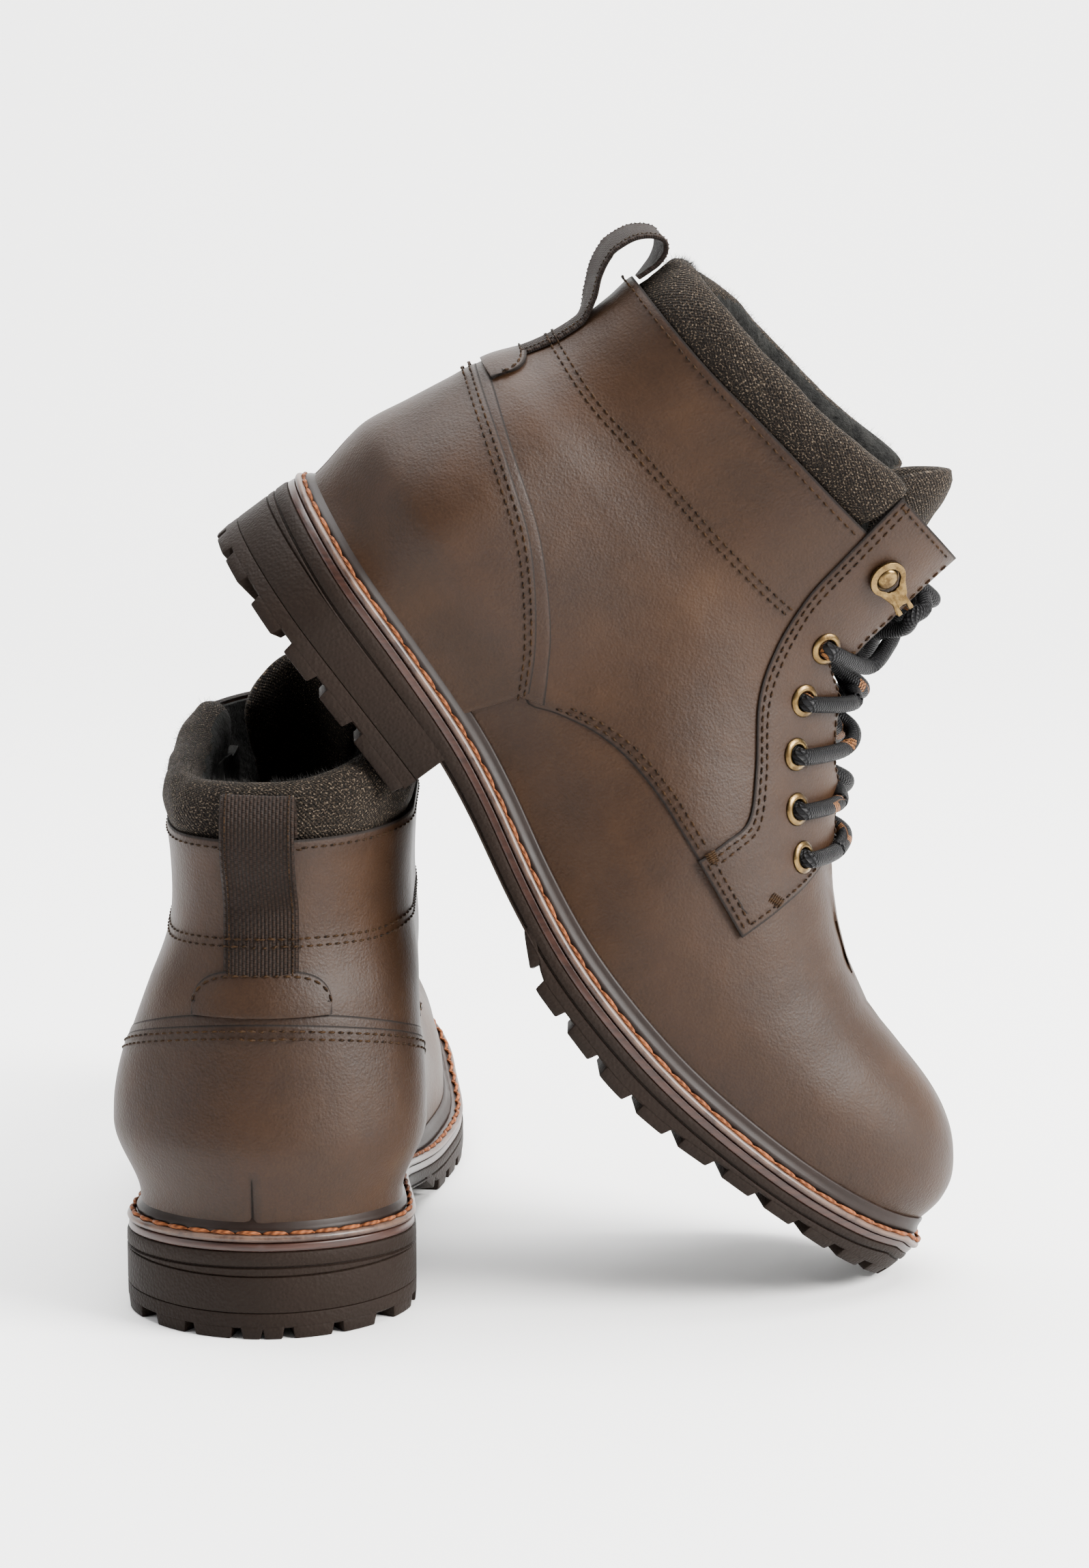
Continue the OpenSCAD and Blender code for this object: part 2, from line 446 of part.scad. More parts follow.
// The line of the laces up the front, and a point p along it from 0 to 1, a degrees
// round to the outer (-) or inner (+) side, and lifted outwards
FRONT = [[191, 90.5], [181, 99], [168, 110], [156, 122], [148, 134], [144.5, 148], [142, 162],
    [139, 177], [136, 192]];
function front_skin(p, a, lift) = let (at = along(p, FRONT),
        d = unit(along(min(1, p + 0.02), FRONT) - along(max(0, p - 0.02), FRONT)),
        r = crown(at[0]), q = at + r*(1 - cos(a))*[-d[1], d[0]],
        w = fullness(q[0], q[1], a < 0))
    [q[0], shaft_shift(q[0], q[1]) + w*sin(a), q[1]]
        + lift*unit([d[1]*cos(a)/r, sin(a)/w, -d[0]*cos(a)/r]);

// The padded tongue, in front of the lining and behind the laces
module tongue() color("#38302b") {
    rows = 10;
    half = 4;
    leaf([for (i = [0:rows]) [for (j = [-half:half]) let (
        reach = mix(30, 42, ease(i/rows*2)), top = 0.955 - 0.05*pow(abs(j/half), 2),
        p = mix(0.05, top, i/rows))
        front_skin(p, reach*j/half, -9) - [5*pow(p, 3), 0, 0]]], 0, tongue_thick, flip = true);
}
// A round cord swept along points, closed at both ends
module cord(pts, d, m = 8) {
    n = len(pts);
    rings = [for (i = [0:n - 1]) let (t = unit(pts[min(n - 1, i + 1)] - pts[max(0, i - 1)]),
        e = unit(cross(t, [0.13, 0.9, 0.41])), f = cross(t, e))
        for (k = [0:m - 1]) pts[i] + d/2*(cos(360*k/m)*e + sin(360*k/m)*f)];
    polyhedron(rings, [[for (k = [0:m - 1]) k],
        for (i = [0:n - 2]) for (k = [0:m - 1]) let (a = m*i + k, b = m*i + (k + 1) % m)
            each [[a, a + m, b + m], [a, b + m, b]],
        [for (k = [m - 1:-1:0]) m*(n - 1) + k]]);
}

// One half of the lace, from the lowest eyelet on side s up to its tucked end
LACE_AT = [0.03, 0.15, 0.265, 0.375, 0.48];
lace_over = 3.4;
lace_under = -4.7;
function half_lace(s) = [
    for (k = [0:4]) let (side = k % 2 == 0 ? s : -s, e = EYELETS[k], p = LACE_AT[k],
            high = s < 0 ? lace_over : -2.2)
        each [skin(e[0], e[1], side) + lace_under*outward(e, side),
            skin(e[0], e[1], side) + 2.8*outward(e, side),
            front_skin(p + 0.02, side*15, lace_over),
            front_skin(p + (k == 4 ? 0.1 : 0.055), 0, high),
            if (k < 4) front_skin(p + 0.09, -side*15, lace_under)],
    front_skin(0.64, -s*11, lace_over), front_skin(0.68, -s*15, lace_over),
    front_skin(0.72, -s*11, lace_over), front_skin(0.75, 0, s < 0 ? lace_over : -2.2),
    front_skin(0.74, s*14, lace_under), front_skin(0.7, s*24, lace_under)];
module lace() color("#1f1c1a") let (a = half_lace(-1), b = half_lace(1))
    cord(concat([for (i = [len(a) - 1:-1:0]) a[i]], [front_skin(0.03, 0, lace_under)], b), lace_dia);

// ---- The pair -------------------------------------------------------------------------
module at_left() translate([0, -rest_x, 0]) rotate([0, 0, 90]) mirror([0, 1, 0]) children();
module at_right() translate(lean_at - [0, rest_x, 0]) rotate([0, lean_angle, 0]) children();
module piece(name, pressed) {
    if (name == "outsole") outsole();
    if (name == "heel_block") heel_block();
    if (name == "top_lift") top_lift();
    if (name == "midsole") midsole();
    if (name == "welt") welt();
    if (name == "welt_stitch") welt_stitch();
    if (name == "rand") rand();
    if (name == "shank") shank();
    if (name == "filler") filler();
    if (name == "insole_board") insole_board();
    if (name == "footbed") footbed();
    if (name == "toe_puff") toe_puff();
    if (name == "counter_stiffener") counter_stiffener();
    if (name == "vamp") vamp();
    if (name == "quarter_outer") quarter(-1);
    if (name == "quarter_inner") quarter(1);
    if (name == "heel_counter") heel_counter();
    if (name == "counter_trim") counter_trim();
    if (name == "heel_tab") heel_tab();
    if (name == "back_strap") back_strap();
    if (name == "pull_loop") pull_loop();
    if (name == "eyestay_outer") eyestay(-1);
    if (name == "eyestay_inner") eyestay(1);
    if (name == "eyelets") eyelets();
    if (name == "lace_hooks") lace_hooks();
    if (name == "collar") collar(pressed);
    if (name == "vamp_lining") vamp_lining();
    if (name == "shaft_lining") shaft_lining();
    if (name == "tongue") tongue();
    if (name == "lace") lace();
}
for (name = PIECES) {
    at_left() piece(name, true);
    at_right() piece(name, false);
}
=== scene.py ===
import math

import bpy
import numpy as np
from mathutils import Matrix, Vector


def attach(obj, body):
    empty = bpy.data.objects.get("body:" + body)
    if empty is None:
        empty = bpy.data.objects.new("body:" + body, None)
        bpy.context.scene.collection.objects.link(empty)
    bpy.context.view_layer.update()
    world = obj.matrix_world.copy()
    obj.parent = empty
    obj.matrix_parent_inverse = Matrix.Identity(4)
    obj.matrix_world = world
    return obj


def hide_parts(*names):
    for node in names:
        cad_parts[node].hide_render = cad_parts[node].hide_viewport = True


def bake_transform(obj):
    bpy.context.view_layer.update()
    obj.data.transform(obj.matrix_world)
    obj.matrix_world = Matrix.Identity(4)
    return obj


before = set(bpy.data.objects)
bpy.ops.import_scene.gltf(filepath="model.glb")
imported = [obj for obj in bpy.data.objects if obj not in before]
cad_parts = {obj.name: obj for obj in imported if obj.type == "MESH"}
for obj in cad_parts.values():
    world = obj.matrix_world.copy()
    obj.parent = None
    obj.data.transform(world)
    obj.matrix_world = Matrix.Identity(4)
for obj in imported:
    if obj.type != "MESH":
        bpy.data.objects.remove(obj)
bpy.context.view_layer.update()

# ---- Studio ------------------------------------------------------------------------
# A pale seamless sweep that curves up behind the pair, a large soft light from the
# upper right, a weaker one from the left, and the camera a little above the boots.
camera = bpy.data.objects.new("camera", bpy.data.cameras.new("camera"))
camera.data.lens = 79.7
camera.data.sensor_width = 36
camera.location = (0.0828, -1.0249, 0.3212)
camera.rotation_euler = (math.radians(80.974), 0, 0)
bpy.context.scene.collection.objects.link(camera)
bpy.context.scene.camera = camera

sweep_front, sweep_back, sweep_radius, sweep_half, sweep_rise = -3.0, 1.6, 0.9, 3.2, 2.0
bpy.ops.object.select_all(action="DESELECT")
bpy.ops.mesh.primitive_grid_add(x_subdivisions=2, y_subdivisions=60, size=2)
sweep = bpy.context.object
sweep.name = "sweep"
turn_length = sweep_radius * math.pi / 2
run = sweep_back - sweep_front + turn_length + sweep_rise
for v in sweep.data.vertices:
    way = (v.co.y + 1) / 2 * run
    flat = sweep_back - sweep_front
    bend = min(max(way - flat, 0), turn_length) / sweep_radius
    over = max(way - flat - turn_length, 0)
    v.co = (v.co.x * sweep_half, sweep_front + min(way, flat) + sweep_radius * math.sin(bend),
            sweep_radius * (1 - math.cos(bend)) + over)
bpy.ops.object.shade_smooth()
paper = bpy.data.materials.new("paper")
paper.use_nodes = True
paper_shader = paper.node_tree.nodes["Principled BSDF"]
paper_shader.inputs["Base Color"].default_value = (0.9, 0.898, 0.893, 1)
paper_shader.inputs["Roughness"].default_value = 0.9
sweep.data.materials.append(paper)


def softbox(name, place, target, size, power, tone):
    lamp = bpy.data.lights.new(name, "AREA")
    lamp.shape = "RECTANGLE"
    lamp.size, lamp.size_y = size
    lamp.energy = power
    lamp.color = tone
    holder = bpy.data.objects.new(name, lamp)
    holder.location = place
    aim = Vector(place) - Vector(target)
    holder.rotation_euler = aim.to_track_quat("Z", "Y").to_euler()
    bpy.context.scene.collection.objects.link(holder)


softbox("key", (1.9, -0.75, 1.25), (0.08, 0.0, 0.15), (1.2, 1.2), 225, (1.0, 0.985, 0.96))
softbox("side", (-1.9, -0.5, 1.1), (0.0, 0.0, 0.15), (1.2, 1.6), 25, (0.97, 0.985, 1.0))
softbox("top", (0.2, 0.3, 2.5), (0.1, 0.2, 0.1), (2.6, 2.4), 165, (1.0, 1.0, 1.0))
softbox("wall", (0.0, 0.5, 2.6), (0.1, 2.4, 0.9), (3.0, 0.8), 125, (1.0, 1.0, 1.0))
world = bpy.data.worlds.new("room")
world.use_nodes = True
sky = world.node_tree.nodes["Background"].inputs
sky["Color"].default_value, sky["Strength"].default_value = (1.0, 1.0, 1.0, 1), 0.38
bpy.context.scene.world = world

# ---- Rubber outsole ----------------------------------------------------------------
# The moulded runner: a thin sole with a groove round its wall and tread blocks from the
# ball of the foot forward. Every piece is shaped in boot space: x forward from the back
# of the heel, y to the inner side and z up, in millimetres.
sole_length = 307.5
heel_half, waist_half, ball_half = 44, 39.5, 52.5


def ease(t):
    u = np.clip(t, 0, 1)
    return u * u * (3 - 2 * u)


def mix(a, b, t):
    return a * (1 - t) + b * t


def curve(x, knots):
    """A smooth curve through knots (x, y), level beyond its ends."""
    k = np.array(knots, float)
    kx, ky = k[:, 0], k[:, 1]
    order = np.arange(len(k))
    before, after = np.maximum(order - 1, 0), np.minimum(order + 1, len(k) - 1)
    slope = (ky[after] - ky[before]) / (kx[after] - kx[before])
    x = np.clip(x, kx[0], kx[-1])
    i = np.clip(np.searchsorted(kx, x, side="right") - 1, 0, len(k) - 2)
    h = kx[i + 1] - kx[i]
    t = (x - kx[i]) / h
    s = 1 - t
    return (s * s * (1 + 2 * t) * ky[i] + t * t * (3 - 2 * t) * ky[i + 1]
            + h * t * s * (s * slope[i] - t * slope[i + 1]))


def round_end(d, r):
    u = 1 - np.clip(d / r, 0, 1)
    return np.sqrt(np.maximum(0, 1 - u * u))


def unit(v):
    return v / np.maximum(np.linalg.norm(v, axis=-1, keepdims=True), 1e-9)


def half_sole(x, s):
    outer = curve(x, [(0, heel_half - 2), (37, heel_half), (92, waist_half), (125, 43),
                      (172, ball_half - 0.5), (215, ball_half - 1), (250, ball_half - 4),
                      (sole_length, ball_half - 8)])
    inner = curve(x, [(0, heel_half - 2), (37, heel_half), (92, waist_half), (130, 41),
                      (175, ball_half - 3), (208, ball_half + 0.5), (250, ball_half - 5),
                      (sole_length, ball_half - 10)])
    return np.where(np.asarray(s) < 0, outer, inner)


def middle(x):
    return 3.5 * ease((x - 150) / 150)


def outline(turn):
    """The sole's outline at a turn of 0 degrees (heel) by 180 (toe) round to 360."""
    turn = np.asarray(turn, float)
    x = sole_length * (1 - np.cos(np.radians(turn))) / 2
    s = np.where((turn + 360) % 360 < 180, -1, 1)
    return np.stack([x, middle(x) + s * half_sole(x, s) * round_end(x, 42)
                     * round_end(sole_length - x, 62)], -1)


def inset(turn, d):
    """The outline moved inwards by d."""
    t = unit(outline(turn + 0.5) - outline(turn - 0.5))
    return outline(turn) + np.asarray(d)[..., None] * np.stack([-t[..., 1], t[..., 0]], -1)


def feather(x):
    """The level of the feather line, where the upper meets the welt."""
    return curve(x, [(0, 36.5), (10, 35.8), (33, 34.4), (62, 33.6), (90, 32), (109, 29.3),
                     (137, 23.6), (160, 20.6), (184, 20.3), (208, 22), (233, 26.4),
                     (260, 33.3), (285, 41.5), (298, 47)])


# Where the two boots stand. The left one is the mirror of the right, and the right one
# leans on it, toe down, as the frame has them.
lean = math.radians(53.52)
rest_x = 44
toe_tip, toe_under = 307.1, 26
lean_x, lean_y = -16.3, 68
lean_z = toe_tip * math.sin(lean) - toe_under * math.cos(lean)
PLACES = {
    "left": Matrix(((0, 1, 0, 0), (1, 0, 0, -rest_x), (0, 0, 1, 0), (0, 0, 0, 1))),
    "right": Matrix.Translation((lean_x, lean_y - rest_x, lean_z)) @ Matrix.Rotation(lean, 4, "Y"),
}


def only(piece):
    """Selects one object alone and makes it the active one."""
    bpy.ops.object.select_all(action="DESELECT")
    piece.select_set(True)
    bpy.context.view_layer.objects.active = piece


def mesh_piece(name, points, faces, uv=None, marks=None):
    """An object from points in boot space. uv holds one pair per point, in millimetres, and
    marks holds further values per point, such as how far the panel's edge is."""
    mesh = bpy.data.meshes.new(name)
    mesh.from_pydata([tuple(p) for p in points], [], faces)
    piece = bpy.data.objects.new(name, mesh)
    bpy.context.scene.collection.objects.link(piece)
    mark(piece, np.asarray(points, float), uv, marks)
    return piece


def mark(piece, points, uv=None, marks=None):
    """Keeps each point's own place on the boot, its uv and its other values with the mesh."""
    mesh = piece.data
    place = mesh.attributes.new("place", "FLOAT_VECTOR", "POINT")
    place.data.foreach_set("vector", (points * 0.001).astype(np.float32).ravel())
    for key, values in (marks or {}).items():
        store = mesh.attributes.new(key, "FLOAT", "POINT")
        store.data.foreach_set("value", np.asarray(values, np.float32).ravel())
    if uv is not None:
        corner = np.empty(len(mesh.loops), np.int32)
        mesh.loops.foreach_get("vertex_index", corner)
        layer = mesh.uv_layers.active or mesh.uv_layers.new(name="UVMap")
        layer.data.foreach_set("uv", np.asarray(uv, np.float32).reshape(-1, 2)[corner].ravel())


def modify(piece, kind, **settings):
    """Adds a modifier to a piece and applies it."""
    only(piece)
    m = piece.modifiers.new(kind, kind)
    for key, value in settings.items():
        setattr(m, key, value)
    bpy.ops.object.modifier_apply(modifier=m.name)


def bevel(piece, width, sharper, segments=2):
    """Rounds the edges that turn by more than an angle in radians."""
    modify(piece, "BEVEL", width=width, segments=segments, limit_method="ANGLE", angle_limit=sharper)


def place_copy(piece, side, name, finishes, smooth=40):
    """A copy of a boot-space piece on one of the two boots, with its finishes."""
    copy = bpy.data.objects.new(f"{side}_{name}_piece", piece.data.copy())
    bpy.context.scene.collection.objects.link(copy)
    copy.data.transform(Matrix.Scale(0.001, 4) @ PLACES[side])
    if side == "left":
        copy.data.flip_normals()
    copy.data.materials.clear()
    for finish in finishes:
        copy.data.materials.append(finish)
    if smooth:
        only(copy)
        bpy.ops.object.shade_smooth_by_angle(angle=math.radians(smooth))
    return copy


def pair(piece, name, finishes, nodes=None, smooth=40):
    """Puts a boot-space piece on both boots: it rides on each boot's body, and stands for
    the CAD nodes of the same name."""
    for side in PLACES:
        copy = place_copy(piece, side, name, finishes, smooth)
        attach(copy, f"{side}_boot")
        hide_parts(*[f"{side}_{n}" for n in ([name] if nodes is None else nodes)])
    bpy.data.objects.remove(piece)


class Sock:
    """A value in a material. Sums and products of these add Math nodes."""

    def __init__(self, finish, out):
        self.finish, self.out = finish, out

    def _math(self, operation, *values):
        return self.finish.node("ShaderNodeMath", {"operation": operation}, values)

    def __add__(self, other):
        return self._math("ADD", self, other)

    def __sub__(self, other):
        return self._math("SUBTRACT", self, other)

    def __rsub__(self, other):
        return self._math("SUBTRACT", other, self)

    def __mul__(self, other):
        return self._math("MULTIPLY", self, other)

    def __truediv__(self, other):
        return self._math("DIVIDE", self, other)

    def __pow__(self, other):
        return self._math("POWER", self, other)

    def sine(self):
        return self._math("SINE", self)

    def size(self):
        return self._math("ABSOLUTE", self)

    def whole(self):
        return self._math("FLOOR", self)

    def above(self, other):
        return self._math("GREATER_THAN", self, other)

    def within(self, low, high):
        """0 at low and 1 at high, smoothly."""
        return self.finish.node("ShaderNodeMapRange", {"interpolation_type": "SMOOTHSTEP"},
                                {"Value": self, "From Min": low, "From Max": high})

    __radd__, __rmul__ = __add__, __mul__


class Finish:
    """A material on the Principled shader, built up from nodes."""

    def __init__(self, name, **constants):
        self.material = bpy.data.materials.new(name)
        self.material.use_nodes = True
        self.tree = self.material.node_tree
        self.shader = self.tree.nodes["Principled BSDF"]
        for key, value in constants.items():
            label = key.replace("_", " ").title().replace("Ior", "IOR")
            self.shader.inputs[label].default_value = value

    def put(self, socket, value):
        if isinstance(value, Sock):
            self.tree.links.new(value.out, socket)
        elif isinstance(value, tuple) and len(value) == 3 and socket.type == "RGBA":
            socket.default_value = (*value, 1)
        else:
            socket.default_value = value

    def node(self, kind, settings=None, values=(), out=0):
        made = self.tree.nodes.new(kind)
        for key, value in (settings or {}).items():
            if key == "stops":
                while len(made.color_ramp.elements) < len(value):
                    made.color_ramp.elements.new(0.5)
                for element, (where, colour) in zip(made.color_ramp.elements, value):
                    element.position, element.color = where, (*colour, 1)
            else:
                setattr(made, key, value)
        for key, value in (values.items() if isinstance(values, dict) else enumerate(values)):
            self.put(made.inputs[key], value)
        return Sock(self, made.outputs[out])

    def spot(self):
        return self.node("ShaderNodeTexCoord", out="Object")

    def uv(self):
        return self.node("ShaderNodeUVMap", {"uv_map": "UVMap"})

    def part_of(self, vector, axis):
        return self.node("ShaderNodeSeparateXYZ", None, [vector], out=axis)

    def joined(self, x, y, z=0.0):
        return self.node("ShaderNodeCombineXYZ", None, [x, y, z])

    def attribute(self, name, out="Fac"):
        return self.node("ShaderNodeAttribute", {"attribute_name": name}, out=out)

    def noise(self, where, scale, detail=2.0, roughness=0.5):
        return self.node("ShaderNodeTexNoise", None, {"Vector": where, "Scale": scale,
                                                       "Detail": detail, "Roughness": roughness})

    def cells(self, where, scale):
        return self.node("ShaderNodeTexVoronoi", None, {"Vector": where, "Scale": scale})

    def blend(self, share, a, b):
        made = self.tree.nodes.new("ShaderNodeMix")
        made.data_type = "RGBA"
        self.put(made.inputs[0], share)
        self.put(made.inputs[6], a)
        self.put(made.inputs[7], b)
        return Sock(self, made.outputs[2])

    def ramp(self, value, stops):
        return self.node("ShaderNodeValToRGB", {"stops": stops}, [value])

    def feed(self, **values):
        for key, value in values.items():
            self.put(self.shader.inputs[key.replace("_", " ").title()], value)
        return self.material

    def relief(self, height):
        """A height in metres, felt as bumps."""
        bump = self.node("ShaderNodeBump", None,
                         {"Strength": 1.0, "Distance": 1.0, "Height": height}, out="Normal")
        self.put(self.shader.inputs["Normal"], bump)


def rubber_finish():
    rubber = Finish("rubber", specular_ior_level=0.1)
    spot = rubber.spot()
    grain = rubber.cells(spot, 950.0)
    patch = rubber.noise(spot, 30.0, 3.0)
    rubber.relief(grain * 0.00016 + rubber.noise(spot, 2200.0) * 0.00004)
    dust = rubber.noise(spot, 420.0, 4.0, 0.7).within(0.58, 0.8)
    colour = rubber.blend(patch, (0.0057, 0.0033, 0.0021), (0.011, 0.0062, 0.004))
    colour = rubber.blend(dust * 0.2, colour, (0.025, 0.017, 0.012))
    return rubber.feed(base_color=colour, roughness=patch * 0.14 + 0.56)


RUBBER = rubber_finish()
heel_height, tread_depth = 19, 3.2
heel_front = 92.4
midsole_bottom = 10


def ground(x):
    return np.maximum(0, curve(x, [(92, 17.5), (137, 12), (151, 5), (163, 0), (196, 0), (217, 3.2),
                                   (243, 10.5), (265, 16.5), (285, 21.5), (302, toe_under)]))


def sole_loft(name, turns, profile):
    """A slab with the sole's outline: profile lists its wall from the top edge down, as
    an inset and a level, or a rule for the level at x. Sections run from heel to toe."""
    rings = []
    for turn in turns:
        ring = []
        for way, sign in ((profile, 1), (profile[::-1], -1)):
            for d, level in way:
                p = inset(turn if sign > 0 else 360 - turn, d)
                ring.append((*p, float(level(p[0]) if callable(level) else level)))
        rings.append(ring)
    return mesh_piece(name, *closed_rings(rings))


def outward_faces(piece):
    only(piece)
    bpy.ops.object.mode_set(mode="EDIT")
    bpy.ops.mesh.select_all(action="SELECT")
    bpy.ops.mesh.remove_doubles(threshold=0.005)
    bpy.ops.mesh.dissolve_degenerate(threshold=0.002)
    bpy.ops.mesh.normals_make_consistent(inside=False)
    bpy.ops.object.mode_set(mode="OBJECT")


def turn_at(x):
    return math.degrees(math.acos(1 - 2 * x / sole_length))


def off_feather(d):
    return lambda x: feather(x) - d


def groove_level(x):
    return feather(x) - midsole_bottom - curve(x, [(61, 4.6), (160, 3.3), (212, 2.9)])


def off_groove(d):
    return lambda x: groove_level(x) + d


def tread_root(x):
    """The level inside the runner where its blocks start."""
    return ground(x) + tread_depth + 0.6


def runner_low(x):
    return np.where(np.asarray(x) < heel_front, heel_height, ground(x) + tread_depth)


def run_along(path):
    """How far each point of a path lies from its start."""
    return np.concatenate([[0], np.cumsum(np.linalg.norm(np.diff(path, axis=0), axis=-1))])


# The perimeter in millimetres from the middle of the heel, along each side
turn_steps = np.linspace(0, 180, 721)
REACH = {-1: run_along(outline(turn_steps)), 1: run_along(outline(360 - turn_steps[:-1]))}


def way_at(x, s):
    """The place along one side of the perimeter that is x forward."""
    return float(np.interp(turn_at(x), turn_steps[:len(REACH[s])], REACH[s]))


def turn_for(way, s):
    turn = np.interp(way, REACH[s], turn_steps[:len(REACH[s])])
    return turn if s < 0 else 360 - turn


def edge_block(ways, s, depth, low, high):
    """A tread block at the edge of the sole: from one place to another along the outline,
    depth wide, between two levels. Its side walls lean in a little."""
    rings = []
    for t, lean_in in ((0, 0.7), (0.25, 0), (0.5, 0), (0.75, 0), (1, -0.7)):
        way = mix(ways[0], ways[1], t)
        o = inset(turn_for(way, s), 0.0)
        foot = inset(turn_for(way + lean_in, s), 0.35)
        foot_in = inset(turn_for(way + lean_in * 0.8, s), depth - 0.8)
        inner = inset(turn_for(way, s), depth)
        rings.append([(*o, float(high(o[0]))), (*foot, float(low(foot[0]))),
                      (*foot_in, float(low(foot_in[0]))), (*inner, float(high(inner[0])))])
    return closed_rings(rings)


def ring_faces(n, m, hooped=False):
    """Faces between n rings of m points, capped at both ends unless they form a hoop."""
    faces = [(m * i + j, m * i + (j + 1) % m, m * ((i + 1) % n) + (j + 1) % m, m * ((i + 1) % n) + j)
             for i in range(n if hooped else n - 1) for j in range(m)]
    caps = [tuple(range(m))[::-1], tuple(m * (n - 1) + j for j in range(m))]
    return faces if hooped else faces + caps


def closed_rings(rings):
    return [p for ring in rings for p in ring], ring_faces(len(rings), len(rings[0]))


def box_block(corners, low, high):
    """A tread block inside the sole, from its four corners seen from below."""
    c = np.array(corners, float)
    foot = mix(c, c.mean(axis=0), 0.07)
    ring_low = [(*p, float(low(p[0]))) for p in foot]
    ring_high = [(*p, float(high(p[0]))) for p in c]
    return closed_rings([ring_high, ring_low])


class Batch:
    """Many small solids gathered into one mesh."""

    def __init__(self):
        self.points, self.faces, self.uv = [], [], []

    def add(self, points, faces, uv=None):
        start = len(self.points)
        self.points.extend(points)
        self.faces.extend([tuple(start + k for k in f) for f in faces])
        self.uv.extend(uv if uv is not None else [(0, 0)] * len(points))

    def make(self, name):
        return mesh_piece(name, self.points, self.faces, self.uv)


def join(piece, *others):
    """Joins finished boot-space meshes into one piece."""
    only(piece)
    for o in others:
        o.select_set(True)
    bpy.ops.object.join()
    return piece


turns = np.linspace(0.01, 179.99, 150)
runner = sole_loft("outsole", turns, [
    (0.8, off_feather(midsole_bottom)), (0.3, off_feather(midsole_bottom + 0.25)),
    (0.05, off_feather(midsole_bottom + 0.9)), (0.0, off_groove(0.75)), (0.15, off_groove(0.45)),
    (0.8, off_groove(0.2)), (0.8, off_groove(-0.2)), (0.15, off_groove(-0.45)),
    (0.0, lambda x: np.minimum(groove_level(x) - 0.75, runner_low(x) + 2.0)
        if x > heel_front else groove_level(x) - 0.6),
    (0.0, lambda x: np.minimum(runner_low(x) + 0.6, groove_level(x) - 0.8)),
    (0.6, lambda x: np.minimum(runner_low(x), groove_level(x) - 1.0)),
])
outward_faces(runner)
tread = Batch()
lug, lug_gap, lug_deep, tread_start = 11.6, 4.4, 17.0, 145.4
for s in (-1, 1):
    way = way_at(tread_start, s)
    end = REACH[s][-1]
    while way < end - 6:
        stop = min(way + lug, end - 1.4)
        tread.add(*edge_block((way, stop), s, lug_deep, ground, tread_root))
        way += lug + lug_gap
# Chevrons down the middle, pointing to the toe
for k in range(8):
    x = 150 + 16 * k
    reach = min(half_sole(x + 6, -1), half_sole(x + 6, 1)) * float(
        round_end(sole_length - x - 14, 62)) - lug_deep - 6
    if reach < 7:
        continue
    y0 = float(middle(x)) + 1.2 * (k % 2 == 0)
    for s in (-1, 1):
        tread.add(*box_block([(x + 5, y0 + s * 0.9), (x + 13.6, y0 + s * 0.9),
                              (x + 8.6, y0 + s * reach), (x, y0 + s * reach)][::s],
                             ground, tread_root))
blocks = tread.make("tread")
outward_faces(blocks)
bevel(blocks, 0.45, 0.7)
runner = join(runner, blocks)
pair(runner, "outsole", [RUBBER], smooth=35)

# ---- Heel --------------------------------------------------------------------------
# A moulded heel block with the wearing lift under it. The lift's edge is cut into
# blocks, closer together round the back, with bars across the middle.
lift_thick = 8
block_turns = np.linspace(0.01, turn_at(heel_front), 90)
heel_block = sole_loft("heel_block", block_turns, [
    (0.5, heel_height), (0.1, heel_height - 0.25), (0.0, heel_height - 0.7),
    (0.0, lift_thick + 0.6), (0.1, lift_thick + 0.2), (0.45, lift_thick)])
outward_faces(heel_block)
pair(heel_block, "heel_block", [RUBBER], smooth=35)

notch_deep = 3.4
lift = sole_loft("top_lift", block_turns, [
    (0.45, lift_thick), (0.1, lift_thick - 0.2), (0.0, lift_thick - 0.6),
    (0.05, notch_deep + 0.5), (0.5, notch_deep)])
outward_faces(lift)
# Blocks as places along the edge, from the middle of the back
BACK_BLOCKS = [(0.0, 6.6), (9.0, 22.0), (24.6, 37.4), (45.0, 58.0), (63.0, 75.5), (80.2, 92.6)]
lift_blocks = Batch()
block_deep, block_root = 14.0, notch_deep + 0.6
for s in (-1, 1):
    for ways in BACK_BLOCKS + [(97.0, way_at(heel_front - 0.6, s))]:
        lift_blocks.add(*edge_block(ways, s, block_deep, lambda x: 0.0, lambda x: block_root))
for k in range(4):
    x = 24 + 16.5 * k
    for s in (-1, 1):
        bar = [(x + 2, s * 1.3), (x + 12, s * 1.3), (x + 8, s * 27), (x - 2, s * 27)][::s]
        lift_blocks.add(*box_block(bar, lambda x: 0.0, lambda x: block_root))
cut = lift_blocks.make("lift_blocks")
outward_faces(cut)
bevel(cut, 0.45, 0.7)
lift = join(lift, cut)
pair(lift, "top_lift", [RUBBER], smooth=35)

